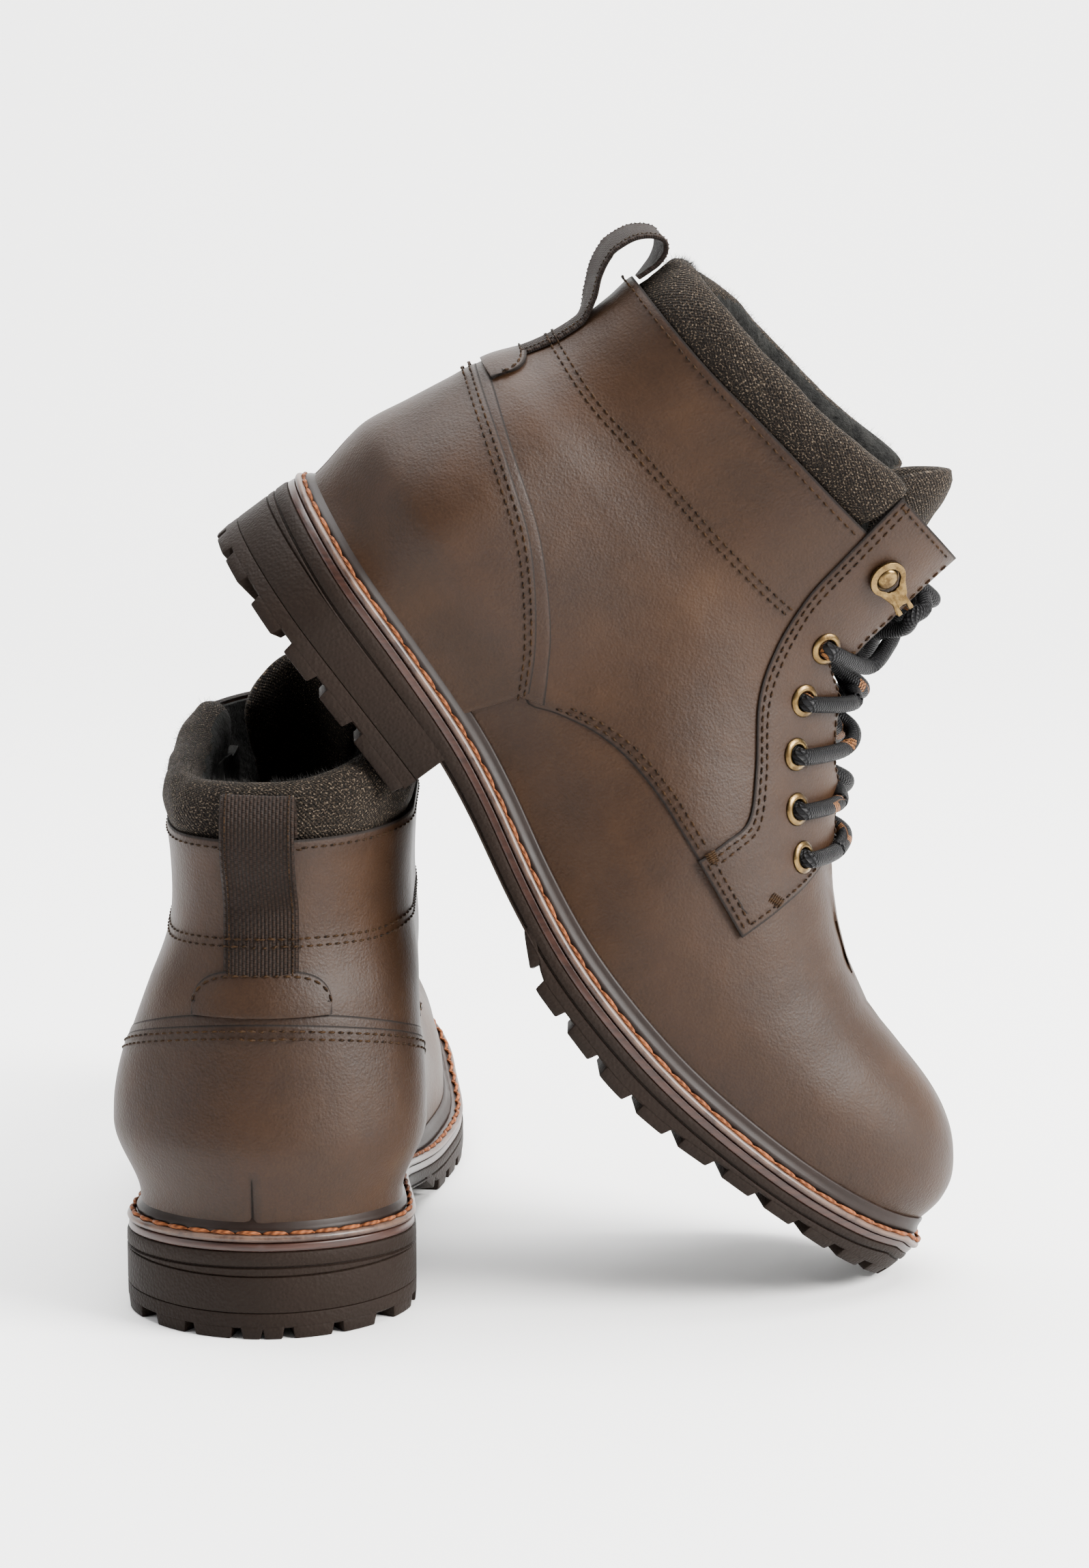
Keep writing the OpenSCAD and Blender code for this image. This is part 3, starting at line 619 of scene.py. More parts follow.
# ---- Midsole -----------------------------------------------------------------------
# A leather midsole between the welt and the rubber, its edge stained red-brown,
# waxed and polished, with paler scuffs of wear here and there.
def midsole_finish():
    leather = Finish("midsole_edge", coat_roughness=0.25, specular_ior_level=0.3)
    spot = leather.spot()
    layers = leather.noise(leather.node("ShaderNodeVectorMath", {"operation": "MULTIPLY"},
                                        [spot, (60.0, 60.0, 900.0)]), 1.0, 3.0)
    colour = leather.blend(layers.within(0.3, 0.7), (0.016, 0.0057, 0.0036), (0.033, 0.012, 0.0075))
    scuffs = leather.noise(spot, 160.0, 5.0, 0.75).within(0.6, 0.78)
    colour = leather.blend(scuffs * 0.3, colour, (0.066, 0.031, 0.018))
    leather.relief(layers * 0.00005 + leather.noise(spot, 700.0) * 0.00004)
    return leather.feed(base_color=colour, roughness=layers * 0.12 + 0.33, coat_weight=layers * 0.12)


welt_bottom = 7.4
midsole = sole_loft("midsole", turns, [
    (1.2, off_feather(welt_bottom)), (0.85, off_feather(welt_bottom + 0.15)),
    (0.7, off_feather(welt_bottom + 0.5)), (0.65, off_feather(midsole_bottom - 1.2)),
    (0.55, off_feather(midsole_bottom - 0.5)), (0.8, off_feather(midsole_bottom - 0.12)),
    (1.4, off_feather(midsole_bottom))])
outward_faces(midsole)
pair(midsole, "midsole", [midsole_finish()], smooth=50)

# ---- Welt --------------------------------------------------------------------------
# A leather strip sewn all round the upper. Its outer edge is rounded, and along the top it is painted
# pale, partly as rubbed wear and partly as a painted highlight. A channel cut into it takes the
# stitching.
def hoop(name, rings, marks=None):
    """A closed loop of closed sections."""
    piece = mesh_piece(name, rings.reshape(-1, 3), ring_faces(*rings.shape[:2], True), marks=marks)
    outward_faces(piece)
    return piece


# (inset, depth below the feather line, how pale it is painted: partly rubbed wear, partly painted
# highlight)
WELT_SECTION = [(11, 7.2, 0), (1.0, 7.2, 0), (0.45, 6.95, 0.2), (0.2, 6.5, 0.3), (0.12, 6.05, 0.9),
                (0.3, 5.6, 1.0), (0.75, 5.15, 0.8), (1.25, 4.86, 0.2), (1.7, 5.0, 0),
                (2.25, 5.25, 0), (2.8, 5.0, 0), (3.3, 4.85, 0), (11, 4.85, 0)]
hoop_turns = np.linspace(0, 360, 300, endpoint=False)
rings, rubbed = [], []
for turn in hoop_turns:
    ring = []
    for d, drop, rub_and_highlight in WELT_SECTION:
        p = inset(turn, d)
        ring.append((*p, float(feather(p[0])) - drop))
        rubbed.append(rub_and_highlight)
    rings.append(ring)


def welt_finish():
    leather = Finish("welt_leather", specular_ior_level=0.3)
    spot = leather.spot()
    patch = leather.noise(spot, 140.0, 4.0, 0.7)
    rub_and_highlight = leather.attribute("rubbed")
    colour = leather.blend(patch, (0.012, 0.0051, 0.0033), (0.026, 0.011, 0.0069))
    # Painted pale along the top of the outer edge: partly rubbed wear, partly a painted highlight
    colour = leather.blend(rub_and_highlight * patch.within(0.3, 0.62) * 0.7, colour, (0.12, 0.069, 0.047))
    leather.relief(leather.noise(spot, 500.0, 3.0) * 0.00006)
    return leather.feed(base_color=colour, roughness=patch * 0.2 + 0.32, coat_weight=rub_and_highlight * 0.1)


welt = hoop("welt", np.array(rings), {"rubbed": rubbed})
pair(welt, "welt", [welt_finish()], smooth=60)

# ---- Welt stitching ----------------------------------------------------------------
# A heavy waxed lock stitch in the channel. Every stitch bows outwards between its two
# needle holes, so the row looks scalloped, and each is a two-ply twist.
welt_pitch = 8.3


def tube_mesh(path, radii, sides, up):
    """Rings of points round a path, closed at both ends."""
    path = np.array(path, float)
    ahead = unit(np.gradient(path, axis=0))
    side_way = unit(np.cross(ahead, up))
    lift_way = np.cross(side_way, ahead)
    around = 2 * np.pi * np.arange(sides) / sides
    spokes = (np.cos(around)[None, :, None] * side_way[:, None]
              + np.sin(around)[None, :, None] * lift_way[:, None])
    rings = path[:, None] + np.asarray(radii)[:, None, None] * spokes
    uv = [(gone, turn) for gone in run_along(path) for turn in around]
    return rings.reshape(-1, 3), ring_faces(len(path), sides), uv


def thread_finish(name, dark, light, plies, glint=0.25, rough=0.5):
    """Twisted thread: painted shade between the plies, its own colour on them, and paler patches painted
    as glints of highlight.
    """
    thread = Finish(name, specular_ior_level=0.08)
    uv = thread.uv()
    way, turn = thread.part_of(uv, 0), thread.part_of(uv, 1)
    twist = (way * plies + turn).sine() * 0.5 + 0.5
    patch = thread.noise(thread.spot(), 190.0, 2.0).within(0.35, 0.7)
    # Painted shade: darker between the plies, where the twist's relief is low
    colour = thread.blend(twist, dark, light)
    # Pale patches painted as glints of highlight
    colour = thread.blend(patch * glint, colour, tuple(min(1.0, c * 2.2) for c in light))
    thread.relief(twist * 0.00012)
    return thread.feed(base_color=colour, roughness=twist * 0.1 + rough)


welt_thread = Batch()
for s in (-1, 1):
    total = REACH[s][-1]
    count = int(round(total / welt_pitch))
    for k in range(count):
        t = np.linspace(0, 1, 8)
        turn = turn_for((k + t * 1.06 - 0.03) * total / count, s)
        bow = np.sin(np.pi * t)
        p = inset(turn, 2.7 - 1.25 * bow)
        z = feather(p[:, 0]) - 5.0 + 0.62 * bow ** 0.6
        welt_thread.add(*tube_mesh(np.column_stack([p, z]), 0.36 + 0.3 * bow ** 0.7, 7, (0, 0, 1)))
welt_stitch = welt_thread.make("welt_stitch")
outward_faces(welt_stitch)
waxed = thread_finish("welt_thread", (0.05, 0.0145, 0.005), (0.17, 0.056, 0.02), 2.6)
pair(welt_stitch, "welt_stitch", [waxed], smooth=60)

# ---- Rand --------------------------------------------------------------------------
# A polished dark bead pressed into the corner between the welt and the upper.
# (distance out from the upper, depth below the feather line)
shaft_half = 35.5
toe_x = 300.5
RIDGE = [(300, 73.6), (235, 73.3), (220, 76.2), (209, 80.3), (199, 85.3), (191, 90.5),
         (181, 99), (168, 110), (156, 122), (148, 134), (144.5, 148), (142, 162), (139, 180)]


def back_x(z):
    return curve(z, [(28, 5.5), (38, 4.3), (50, 1.9), (57, 1.3), (70, 3.4), (84, 5.6),
                     (97, 7.6), (108, 11.6), (120, 14), (137, 14), (147, 13), (175, 14)])


def ridge_z(x):
    return curve(x, [(191, 90.5), (199, 85.3), (209, 80.3), (220, 76.2), (235, 73.3),
                     (250, 73.8), (266, 74.3), (277, 73), (287, 69.4), (295.4, 63), (300.5, 55)])


def under_ridge(x, z):
    """How far a side-view point lies inside the line of the instep and the toe."""
    p = np.stack([x, z], -1)
    near = np.full(x.shape, 1e9)
    for a, b in zip(np.array(RIDGE[:-1], float), np.array(RIDGE[1:], float)):
        d = b - a
        t = np.clip((p - a) @ d / (d @ d), 0, 1)
        near = np.minimum(near, np.linalg.norm(p - a - t[..., None] * d, axis=-1))
    return np.where(x > 240, np.maximum(0, ridge_z(x) - z), near)


def crown(x):
    return curve(x, [(120, 60), (150, 64), (175, 70), (200, 60), (235, 46), (266, 40),
                     (287, 25), (toe_x, 9)])


def shaft_shift(x, z):
    return 6 * ease((z - 60) / 60) * ease((x - 10) / 50) + middle(x)


def fullness(x, z, s):
    foot = half_sole(x, s) - curve(x, [(40, 5.5), (120, 6.5), (200, 7)])
    bulge = curve(x, [(20, 7.5), (60, 7), (95, 5), (150, 3), (200, 1.5), (260, 1)])
    low = foot + bulge * ease((z - feather(x)) / 24)
    high = curve(z, [(100, shaft_half + 2), (127, shaft_half), (160, shaft_half + 2)])
    return mix(low, high, ease((z - 62) / 58) * ease((215 - x) / 30))


def skin(x, z, s):
    """The outside of the upper at a side-view point, on the outer (-1) or inner (1) side."""
    x, z, s = (np.array(v, float) for v in np.broadcast_arrays(x, z, s))
    w = (fullness(x, z, s) * round_end(x - back_x(z), mix(40, 48, ease((z - 60) / 60)))
         * round_end(under_ridge(x, z), crown(x)) * round_end(toe_x - x, 56))
    return np.stack([x, shaft_shift(x, z) + s * w, z], -1)


RAND_SECTION = [(-0.6, 4.6), (-0.6, -0.1), (0.15, -0.35), (0.75, -0.25), (1.05, 0.3), (1.35, 1.2),
                (1.75, 2.1), (2.35, 2.75), (2.75, 3.4), (2.9, 4.1), (2.7, 4.75)]


def foot_point(turn, d):
    """A point round the foot of the upper, d outwards."""
    def at(a):
        x = mix(back_x(34), toe_x, (1 - np.cos(np.radians(a))) / 2)
        s = np.where((a + 360) % 360 < 180, -1, 1)
        return skin(x, feather(x) - 1, s)[..., :2]
    t = unit(at(turn + 0.4) - at(turn - 0.4))
    return at(turn) - np.asarray(d)[..., None] * np.stack([-t[..., 1], t[..., 0]], -1)


rings = []
for turn in (np.arange(300) + 0.5) * 1.2:
    foot = [(foot_point(turn, d), drop) for d, drop in RAND_SECTION]
    rings.append([(*p, float(feather(p[0])) - drop) for p, drop in foot])


def rand_finish():
    bead = Finish("rand_leather", specular_ior_level=0.14)
    spot = bead.spot()
    patch = bead.noise(spot, 60.0, 4.0, 0.65)
    colour = bead.blend(patch, (0.0051, 0.0029, 0.0022), (0.013, 0.0069, 0.0048))
    bead.relief(bead.noise(spot, 380.0, 3.0) * 0.00005)
    return bead.feed(base_color=colour, roughness=patch * 0.2 + 0.36)


pair(hoop("rand", np.array(rings)), "rand", [rand_finish()], smooth=60)

# ---- Vamp --------------------------------------------------------------------------
# The front of the upper: one piece of waxed, brushed leather, pulled over the toe. Its
# rear edge runs under the quarters and the stays that are sewn onto it.
# The vamp's hidden edge, a seam's width beyond the edges that lie over it
THROAT = [(80, 28), (81, 36), (85, 45), (91, 53), (102, 58), (112, 63), (125, 66), (140, 67),
          (156, 65), (170, 64), (182, 62), (183, 70), (184, 82), (186, 92)]
seat = 4.3
leather_thick = 1.8


def along(t, points):
    """The point at t from 0 to 1 along a list of points, each step taking the same share."""
    p = np.array(points, float)
    n = len(p) - 1
    t = np.asarray(t, float)
    i = np.clip(np.floor(t * n).astype(int), 0, n - 1)
    u = (t * n - i)[..., None]
    a, b, c, d = p[np.maximum(i - 1, 0)], p[i], p[i + 1], p[np.minimum(i + 2, n)]
    return b + u * ((c - a) / 2 + u * ((2 * a - 5 * b + 4 * c - d) / 2
                                       + u * (3 * b - a - 3 * c + d) / 2))


def merge(piece, distance):
    """Joins points that lie on each other, in edit mode."""
    only(piece)
    bpy.ops.object.mode_set(mode="EDIT")
    bpy.ops.mesh.select_all(action="SELECT")
    bpy.ops.mesh.remove_doubles(threshold=distance)
    bpy.ops.object.mode_set(mode="OBJECT")


def ceiling(x):
    """The level of the instep's and the toe's line above x."""
    instep = np.interp(x, [p[0] for p in RIDGE[::-1]], [p[1] for p in RIDGE[::-1]])
    return np.where(x < 191, 90.5, np.where(x < 240, instep, ridge_z(x)))


def toe_grid(rows, half, throat, bend, drop):
    """Points from a throat line forward to the toe, where the last row closes up."""
    i = np.arange(rows + 1)[:, None] / rows
    j = np.arange(-half, half + 1)[None, :]
    t = 1 - np.abs(j) / half
    n = len(throat) - 1
    corner = 6 / 11
    share = np.where(t < corner, t / corner * bend / n,
                     (bend + (t - corner) / (1 - corner) * (n - bend)) / n)
    p = along(share, throat)
    px, pz = p[..., 0], p[..., 1]
    start = (pz - feather(px) + drop) / (ceiling(px) - feather(px) + drop)
    go = np.sin(np.pi / 2 * i)
    x = mix(px, toe_x, go)
    h = mix(start, t, ease(go * 1.3))
    z = mix(feather(x) - drop, ceiling(x), h)
    # Evened out between the edges and the ridge, so that no rows crowd at the throat's corner
    for _ in range(120):
        for w in (x, z):
            for a, b in ((1, half), (half + 1, 2 * half)):
                w[1:-1, a:b] = (w[:-2, a:b] + w[2:, a:b] + w[1:-1, a - 1:b - 1]
                                + w[1:-1, a + 1:b + 1]) / 4
    grid = skin(x, z, np.where(j < 0, -1, 1) + 0 * x)
    grid[:, half, 1] = shaft_shift(x[:, half], z[:, half])
    return grid


def grid_normals(grid, flip=False):
    n = unit(np.cross(np.gradient(grid, axis=0), np.gradient(grid, axis=1)))
    return -n if flip else n


def reach_from(grid, edge):
    """How far each point of a grid lies from one of its edges, along the surface."""
    axis = 0 if edge in ("low", "high") else 1
    step = np.linalg.norm(np.diff(grid, axis=axis), axis=-1)
    zero = np.zeros_like(step[:1] if axis == 0 else step[:, :1])
    gone = np.cumsum(np.concatenate([zero, step], axis=axis), axis=axis)
    if edge in ("low", "left"):
        return gone
    return (gone[-1:] if axis == 0 else gone[:, -1:]) - gone


def panel(name, grid, lift, thick, hems, flip=False, tip=False, edge=0.3, rounded=0.0,
          punched=()):
    """A sheet primitive wrapped onto the last and given the leather's thickness. hems
    names its cut edges, rounded draws them down towards the surface below, and punched
    lists the middle, direction and radius of holes through it."""
    rows, cols = grid.shape[:2]
    bpy.ops.object.select_all(action="DESELECT")
    bpy.ops.mesh.primitive_grid_add(x_subdivisions=cols - 1, y_subdivisions=rows - 1, size=2)
    piece = bpy.context.object
    piece.name = name
    near = np.full((rows, cols), 99.0)
    for hem in hems:
        near = np.minimum(near, reach_from(grid, hem))
    normals = grid_normals(grid, flip)
    if tip:
        normals[-1] = (0.98, 0, 0.2)
    lay = lift - rounded * np.exp(-near / 1.1)
    points = grid + normals * lay[..., None]
    piece.data.vertices.foreach_set("co", points.astype(np.float32).ravel())
    if not flip:
        piece.data.flip_normals()
    across, up = reach_from(grid, "left"), reach_from(grid, "low")
    mark(piece, points.reshape(-1, 3), np.stack([across, up], -1), {"hem": near})
    if tip:
        merge(piece, 0.02)
    if punched:
        only(piece)
        bpy.ops.object.mode_set(mode="EDIT")
        bpy.ops.mesh.select_all(action="DESELECT")
        bpy.ops.object.mode_set(mode="OBJECT")
        flat = points.reshape(-1, 3)
        for centre, way, radius in punched:
            arm = flat - centre
            off_axis = np.linalg.norm(arm - (arm @ way)[:, None] * way, axis=-1)
            for k in np.nonzero(off_axis < radius)[0]:
                piece.data.vertices[int(k)].select = True
        bpy.ops.object.mode_set(mode="EDIT")
        bpy.ops.mesh.delete(type="VERT")
        bpy.ops.object.mode_set(mode="OBJECT")
    modify(piece, "SOLIDIFY", thickness=thick, offset=-1, use_even_offset=False)
    if edge:
        bevel(piece, edge, math.radians(50))
    return piece


def leather_finish():
    """Brushed brown leather: cloudy burnish, a fine nap, darker by seams, raw dark edges."""
    hide = Finish("upper_leather", specular_ior_level=0.2, sheen_weight=0.015, sheen_roughness=0.45)
    hide.shader.inputs["Sheen Tint"].default_value = (0.6, 0.45, 0.34, 1)
    where = hide.attribute("place", "Vector")
    near = hide.attribute("hem")
    cloud = hide.noise(where, 17.0, 4.0, 0.6)
    streak = hide.noise(where, 55.0, 3.0, 0.6)
    nap = hide.noise(where, 1400.0, 3.0, 0.7)
    colour = hide.ramp(cloud * 0.75 + streak * 0.25, [
        (0.3, (0.0079, 0.0026, 0.00057)), (0.45, (0.013, 0.0047, 0.0011)),
        (0.58, (0.019, 0.0073, 0.002)), (0.74, (0.031, 0.013, 0.0037))])
    colour = hide.blend(nap.within(0.35, 0.7) * 0.18, colour, (0.044, 0.02, 0.0063))
    burnish = (1.0 - near.within(0.0, 9.0)) * streak.within(0.3, 0.65)
    colour = hide.blend(burnish * 0.5, colour, (0.0064, 0.002, 0.00047))
    raw = 1.0 - near.within(0.3, 1.0)
    colour = hide.blend(raw * 0.94, colour, (0.0035, 0.002, 0.0014))
    pores = hide.cells(where, 1100.0)
    hide.relief(nap * 0.00011 + pores * 0.00007 + streak * 0.0004)
    return hide.feed(base_color=colour, roughness=cloud * 0.14 + nap * 0.1 + raw * 0.3 + 0.4)


LEATHER = leather_finish()
vamp_grid = toe_grid(64, 60, THROAT, 10, seat)
vamp = panel("vamp", vamp_grid, 0.0, leather_thick, ["low"], tip=True)
pair(vamp, "vamp", [LEATHER])

# ---- Quarters ----------------------------------------------------------------------
# The two sides of the shaft, from the seam down the back to the stays. Their lower
# edge lies over the vamp, and a fold rounds their top edge under the collar.
STAY_REAR = [(160.5, 60.5), (161, 70), (160.5, 79), (150, 89.5), (134, 102.6), (125, 115.9),
             (118.5, 132), (115.6, 146), (113.4, 158), (111, 171.7)]
TOPLINE = [(13.5, 146.5), (30, 146.7), (48, 148), (66, 150.6), (84, 153), (100, 155), (112.2, 156.8)]


def patch(u, v, low, high, left, right):
    """Side-view points between four edges, each a function of 0 to 1."""
    across, up = u[..., None], v[..., None]
    corner = mix(mix(low(0.0), low(1.0), across), mix(high(0.0), high(1.0), across), up)
    return mix(low(u), high(u), up) + mix(left(v), right(v), across) - corner


def crowd(t):
    return 1 - np.cos(np.pi / 2 * t)


def side_grid(s, rows, cols, low, high, left, right, back=False):
    v, u = np.meshgrid(np.linspace(0, 1, rows + 1), np.linspace(0, 1, cols + 1), indexing="ij")
    p = patch(crowd(u) if back else u, v, low, high, left, right)
    return skin(np.maximum(p[..., 0], back_x(p[..., 1])), p[..., 1], s)


def both_grid(rows, half, low, high, right):
    """The patch over both sides, joined along the back."""
    v, j = np.meshgrid(np.linspace(0, 1, rows + 1), np.arange(-half, half + 1) / half, indexing="ij")
    z0, z1 = low(0.0)[..., 1], high(0.0)[..., 1]

    def left(t):
        z = mix(z0, z1, t)
        return np.stack([back_x(z), z], -1)
    p = patch(crowd(np.abs(j)), v, low, high, left, right)
    return skin(np.maximum(p[..., 0], back_x(p[..., 1])), p[..., 1], np.where(j < 0, -1, 1))


def line(points, shift=(0, 0)):
    return lambda t: along(t, points) + np.array(shift)


# The quarter's lower edge: hidden under the counter, then free over the vamp
QUARTER_LOW = [(6.6, 91), (18, 87.5), (32, 83), (46, 78), (60, 72), (74, 64.5), (85, 55.5),
               (93, 47.6), (101, 52.4), (112, 58.2), (124, 61.4), (138, 62.2), (150, 61.4), (164, 60)]
quarter_lift = 0.75
quarters = {}
def quarter_back(t):
    z = mix(91, 146.5, t)
    return np.stack([back_x(z), z], -1)


def quarter_front(t):
    """Hidden under the stay, a little ahead of its rear edge."""
    ahead = 3.5 * (1 - ease((t - 0.8) / 0.2))
    return along(np.minimum(t * 0.9, 0.885), STAY_REAR) + np.stack([ahead, 0 * t], -1)


for name, s in (("quarter_outer", -1), ("quarter_inner", 1)):
    grid = side_grid(s, 56, 84, line(QUARTER_LOW), line(TOPLINE), quarter_back, quarter_front, True)
    quarters[s] = grid
    quarter = panel(name, grid, quarter_lift, leather_thick, ["low", "high"], flip=s < 0, rounded=0.35)
    pair(quarter, name, [LEATHER])

# ---- Heel counter and its trim -----------------------------------------------------
# The heel's cover, over a narrow strip that hides the seam with the quarters. A dart
# cut into its foot, a little off the middle, lets the leather turn under the heel.
COUNTER_TOP = [(6.6, 93.5), (16, 90.6), (25, 87.8), (34, 84.8), (52.5, 78.2), (66.6, 70.5),
               (80.8, 60.4), (91.6, 50.4)]


def sole_line(x0, x1, drop):
    def at(t):
        x = mix(x0, x1, np.asarray(t, float))
        return np.stack([x, feather(x) - drop], -1)
    return at


counter_lift, trim_lift = 1.5, 1.15
counter_front = 84.5


def straight(a, b):
    return lambda t: mix(np.array(a), np.array(b), np.asarray(t)[..., None])


def counter_side(t):
    """The front edge, from the sole to the end of the top edge with one knee."""
    t = np.asarray(t)[..., None]
    foot, knee = np.array([counter_front, feather(counter_front) - seat]), np.array([88, 39])
    return np.where(t < 0.5, mix(foot, knee, t * 2), mix(knee, np.array(COUNTER_TOP[7]), t * 2 - 1))


counter_grid = both_grid(48, 80, sole_line(float(back_x(32.0)), counter_front, seat),
                         line(COUNTER_TOP), counter_side)
dart_y, dart_top = -2.7, 52.0
near_dart = (np.exp(-((counter_grid[..., 1] - dart_y) / 0.9) ** 2)
             * ease((dart_top - counter_grid[..., 2]) / 5) * (counter_grid[..., 0] < 12))
counter = panel("heel_counter", counter_grid + np.array([0.9, 0, 0]) * near_dart[..., None],
                counter_lift, leather_thick, ["high"], rounded=0.3)
# The dart's cut edges are raw and dark
store = counter.data.attributes["hem"].data
seen = counter.data.attributes["place"].data
for k in range(len(store)):
    p = seen[k].vector * 1000
    if p[0] < 12 and p[2] < dart_top:
        store[k].value = min(store[k].value, abs(p[1] - dart_y) / (0.25 + (dart_top - p[2]) / 40))
pair(counter, "heel_counter", [LEATHER])
TRIM_TOP = [(7.4, 96.6), (16, 93.9), (25, 90.7), (34, 87.6), (52.6, 81.4), (66.6, 74.6),
            (80.8, 65.8), (90.3, 57.8), (97.2, 51.6)]
trim_under = np.array([-3, -4.5])
trim_grid = both_grid(6, 80, line(COUNTER_TOP, trim_under), line(TRIM_TOP),
                      straight(np.array(COUNTER_TOP[7]) + trim_under, TRIM_TOP[8]))
trim = panel("counter_trim", trim_grid, trim_lift, 1.2, ["high"], rounded=0.25)
pair(trim, "counter_trim", [LEATHER])

# ---- Heel tab ----------------------------------------------------------------------
# A half-oval patch that covers the foot of the webbing at the back.
def back_skin(y, z):
    x0, r = back_x(z), mix(40, 48, ease((z - 60) / 60))
    w = fullness(x0 + 3, z, np.where(y < 0, -1, 1))
    return skin(x0 + r * (1 - np.sqrt(1 - (y / w) ** 2)), z, np.where(y < 0, -1.0, 1.0))


tab_half, tab_rise = 19.6, 10.6
tab_v, tab_u = np.meshgrid(np.linspace(0, 1, 15), np.linspace(-90, 90, 49), indexing="ij")
tab_y = tab_half * np.sin(np.radians(tab_u))
tab_top = 97.4 + tab_rise * (1 - np.abs(tab_y / (tab_half + 0.05)) ** 3.6) ** 0.5
tab_grid = back_skin(tab_y, mix(95.0, tab_top, tab_v))
tab = panel("heel_tab", tab_grid, 2.3, 1.5, ["high", "left", "right"], rounded=0.3)
pair(tab, "heel_tab", [LEATHER])

# ---- Eyestays ----------------------------------------------------------------------
# The two facings that carry the eyelets and the hooks, sewn over the quarters and the
# vamp, with a notch in the front edge between the top eyelet and the hook.
STAY_FRONT = [(187.3, 57), (188.4, 70), (189, 82), (186.5, 94), (176.5, 103.5), (164.5, 110),
              (152, 121), (143, 133), (140.5, 148), (138.4, 162), (137.2, 175)]
EYELETS = [(181.3, 84.2), (168.3, 91.4), (154.8, 101), (143.4, 112.5), (134.6, 127.2)]
HOOK = (127.4, 154.4)
eyelet_hole, eyelet_outer = 5.8, 9.4
stay_lift = 1.75


def outward(p, s):
    """The skin's outward direction at a side-view point."""
    up = skin(p[0], p[1] + 1, s) - skin(p[0], p[1] - 1, s)
    on = skin(p[0] + 1, p[1], s) - skin(p[0] - 1, p[1], s)
    return s * unit(np.cross(up, on))


notch_at, notch_half, notch_cut = 0.655, 0.05, 7.5
stays = {}


def stay_front(t):
    """The front edge, drawn back at the notch."""
    cut = notch_cut * np.clip(1 - np.abs(t - notch_at) / notch_half, 0, 1)
    return along(t, STAY_FRONT) - np.stack([cut, 0.25 * cut], -1)


for name, s in (("eyestay_outer", -1), ("eyestay_inner", 1)):
    grid = side_grid(s, 118, 30, straight(STAY_REAR[0], STAY_FRONT[0]),
                     straight(STAY_REAR[9], STAY_FRONT[10]), line(STAY_REAR), stay_front)
    stays[s] = grid
    holes = [(skin(*p, s), outward(p, s), eyelet_hole / 2 + 0.25) for p in EYELETS]
    stay = panel(name, grid, stay_lift, leather_thick, ["low", "high", "left", "right"],
                 flip=s < 0, rounded=0.3, punched=holes)
    pair(stay, name, [LEATHER])

# ---- Eyelets -----------------------------------------------------------------------
# Antique brass eyelets: a rolled flange outside, a barrel through the leather.
def brass_finish():
    brass = Finish("antique_brass", metallic=1.0)
    spot = brass.spot()
    patina = brass.noise(spot, 320.0, 4.0, 0.7).within(0.35, 0.68)
    fine_noise = brass.noise(spot, 1500.0, 2.0)
    colour = brass.blend(patina, (0.15, 0.098, 0.039), (0.055, 0.033, 0.014))
    brass.relief(fine_noise * 0.00003)
    return brass.feed(base_color=colour, roughness=patina * 0.16 + 0.27)


BRASS = brass_finish()


def frame_on(p, s, ahead=(1.0, 0, 0)):
    """A local frame on the skin at a side-view point: x ahead, z outwards."""
    z = outward(p, s)
    y = unit(np.cross(z, ahead))
    x = np.cross(y, z)
    return Matrix(np.column_stack([x, y, z]).tolist()).to_4x4(), skin(p[0], p[1], s)


def spun(name, profile, steps):
    """A profile of (radius, height) spun round Z: a circle of vertices, extruded ring by
    ring to each next radius and height."""
    bpy.ops.object.select_all(action="DESELECT")
    bpy.ops.mesh.primitive_circle_add(vertices=steps, radius=profile[0][0], location=(0, 0, 0))
    piece = bpy.context.object
    piece.name = name
    piece.data.transform(Matrix.Translation((0, 0, profile[0][1])))
    bpy.ops.object.mode_set(mode="EDIT")
    bpy.ops.mesh.select_all(action="SELECT")
    for (r0, z0), (r1, z1) in zip(profile, profile[1:]):
        bpy.ops.mesh.extrude_edges_move(TRANSFORM_OT_translate={"value": (0, 0, z1 - z0)})
        bpy.ops.transform.resize(value=(r1 / r0, r1 / r0, 1), center_override=(0, 0, 0))
    bpy.ops.object.mode_set(mode="OBJECT")
    return piece


def copied_to(source, matrices, name):
    """One mesh made of copies of a small piece, which is then removed."""
    batch = Batch()
    for matrix in matrices:
        batch.add([matrix @ v.co for v in source.data.vertices],
                  [tuple(f.vertices) for f in source.data.polygons])
    bpy.data.objects.remove(source)
    return batch.make(name)


r_hole, r_out = eyelet_hole / 2 - 0.1, eyelet_outer / 2 + 0.35
EYELET_SECTION = [(r_hole, -2.6), (r_hole, 0.5), (r_hole + 0.22, 0.86), (r_hole + 0.65, 1.02),
                  (r_hole + 1.15, 0.92), (r_out - 0.22, 0.6), (r_out, 0.28), (r_out - 0.05, -0.15),
                  (r_out - 0.9, -0.2), (r_hole + 0.4, -0.4), (r_hole + 0.4, -2.6), (r_hole, -2.6)]
eyelet = spun("eyelet", [(r, stay_lift + h) for r, h in EYELET_SECTION], 40)
places = []
for s in (-1, 1):
    for p in EYELETS:
        turned, at = frame_on(p, s)
        places.append(Matrix.Translation(at) @ turned)
eyelets = copied_to(eyelet, places, "eyelets")
outward_faces(eyelets)
pair(eyelets, "eyelets", [BRASS], smooth=60)

# ---- Speed hooks -------------------------------------------------------------------
# A brass loop, shaped like a drop, that a domed rivet holds. Its forked tip stands off
# the leather and points forward, so that the lace slips in under it.
hook_long, hook_wide, hook_metal = 18.4, 11.6, 1.25
rivet_radius = 3.5


def arc(r, start, end, x=0.0):
    """27 points round the rivet, from one angle in degrees to another."""
    return [(r * math.cos(a) + x, r * math.sin(a)) for a in np.radians(np.linspace(start, end, 27))]


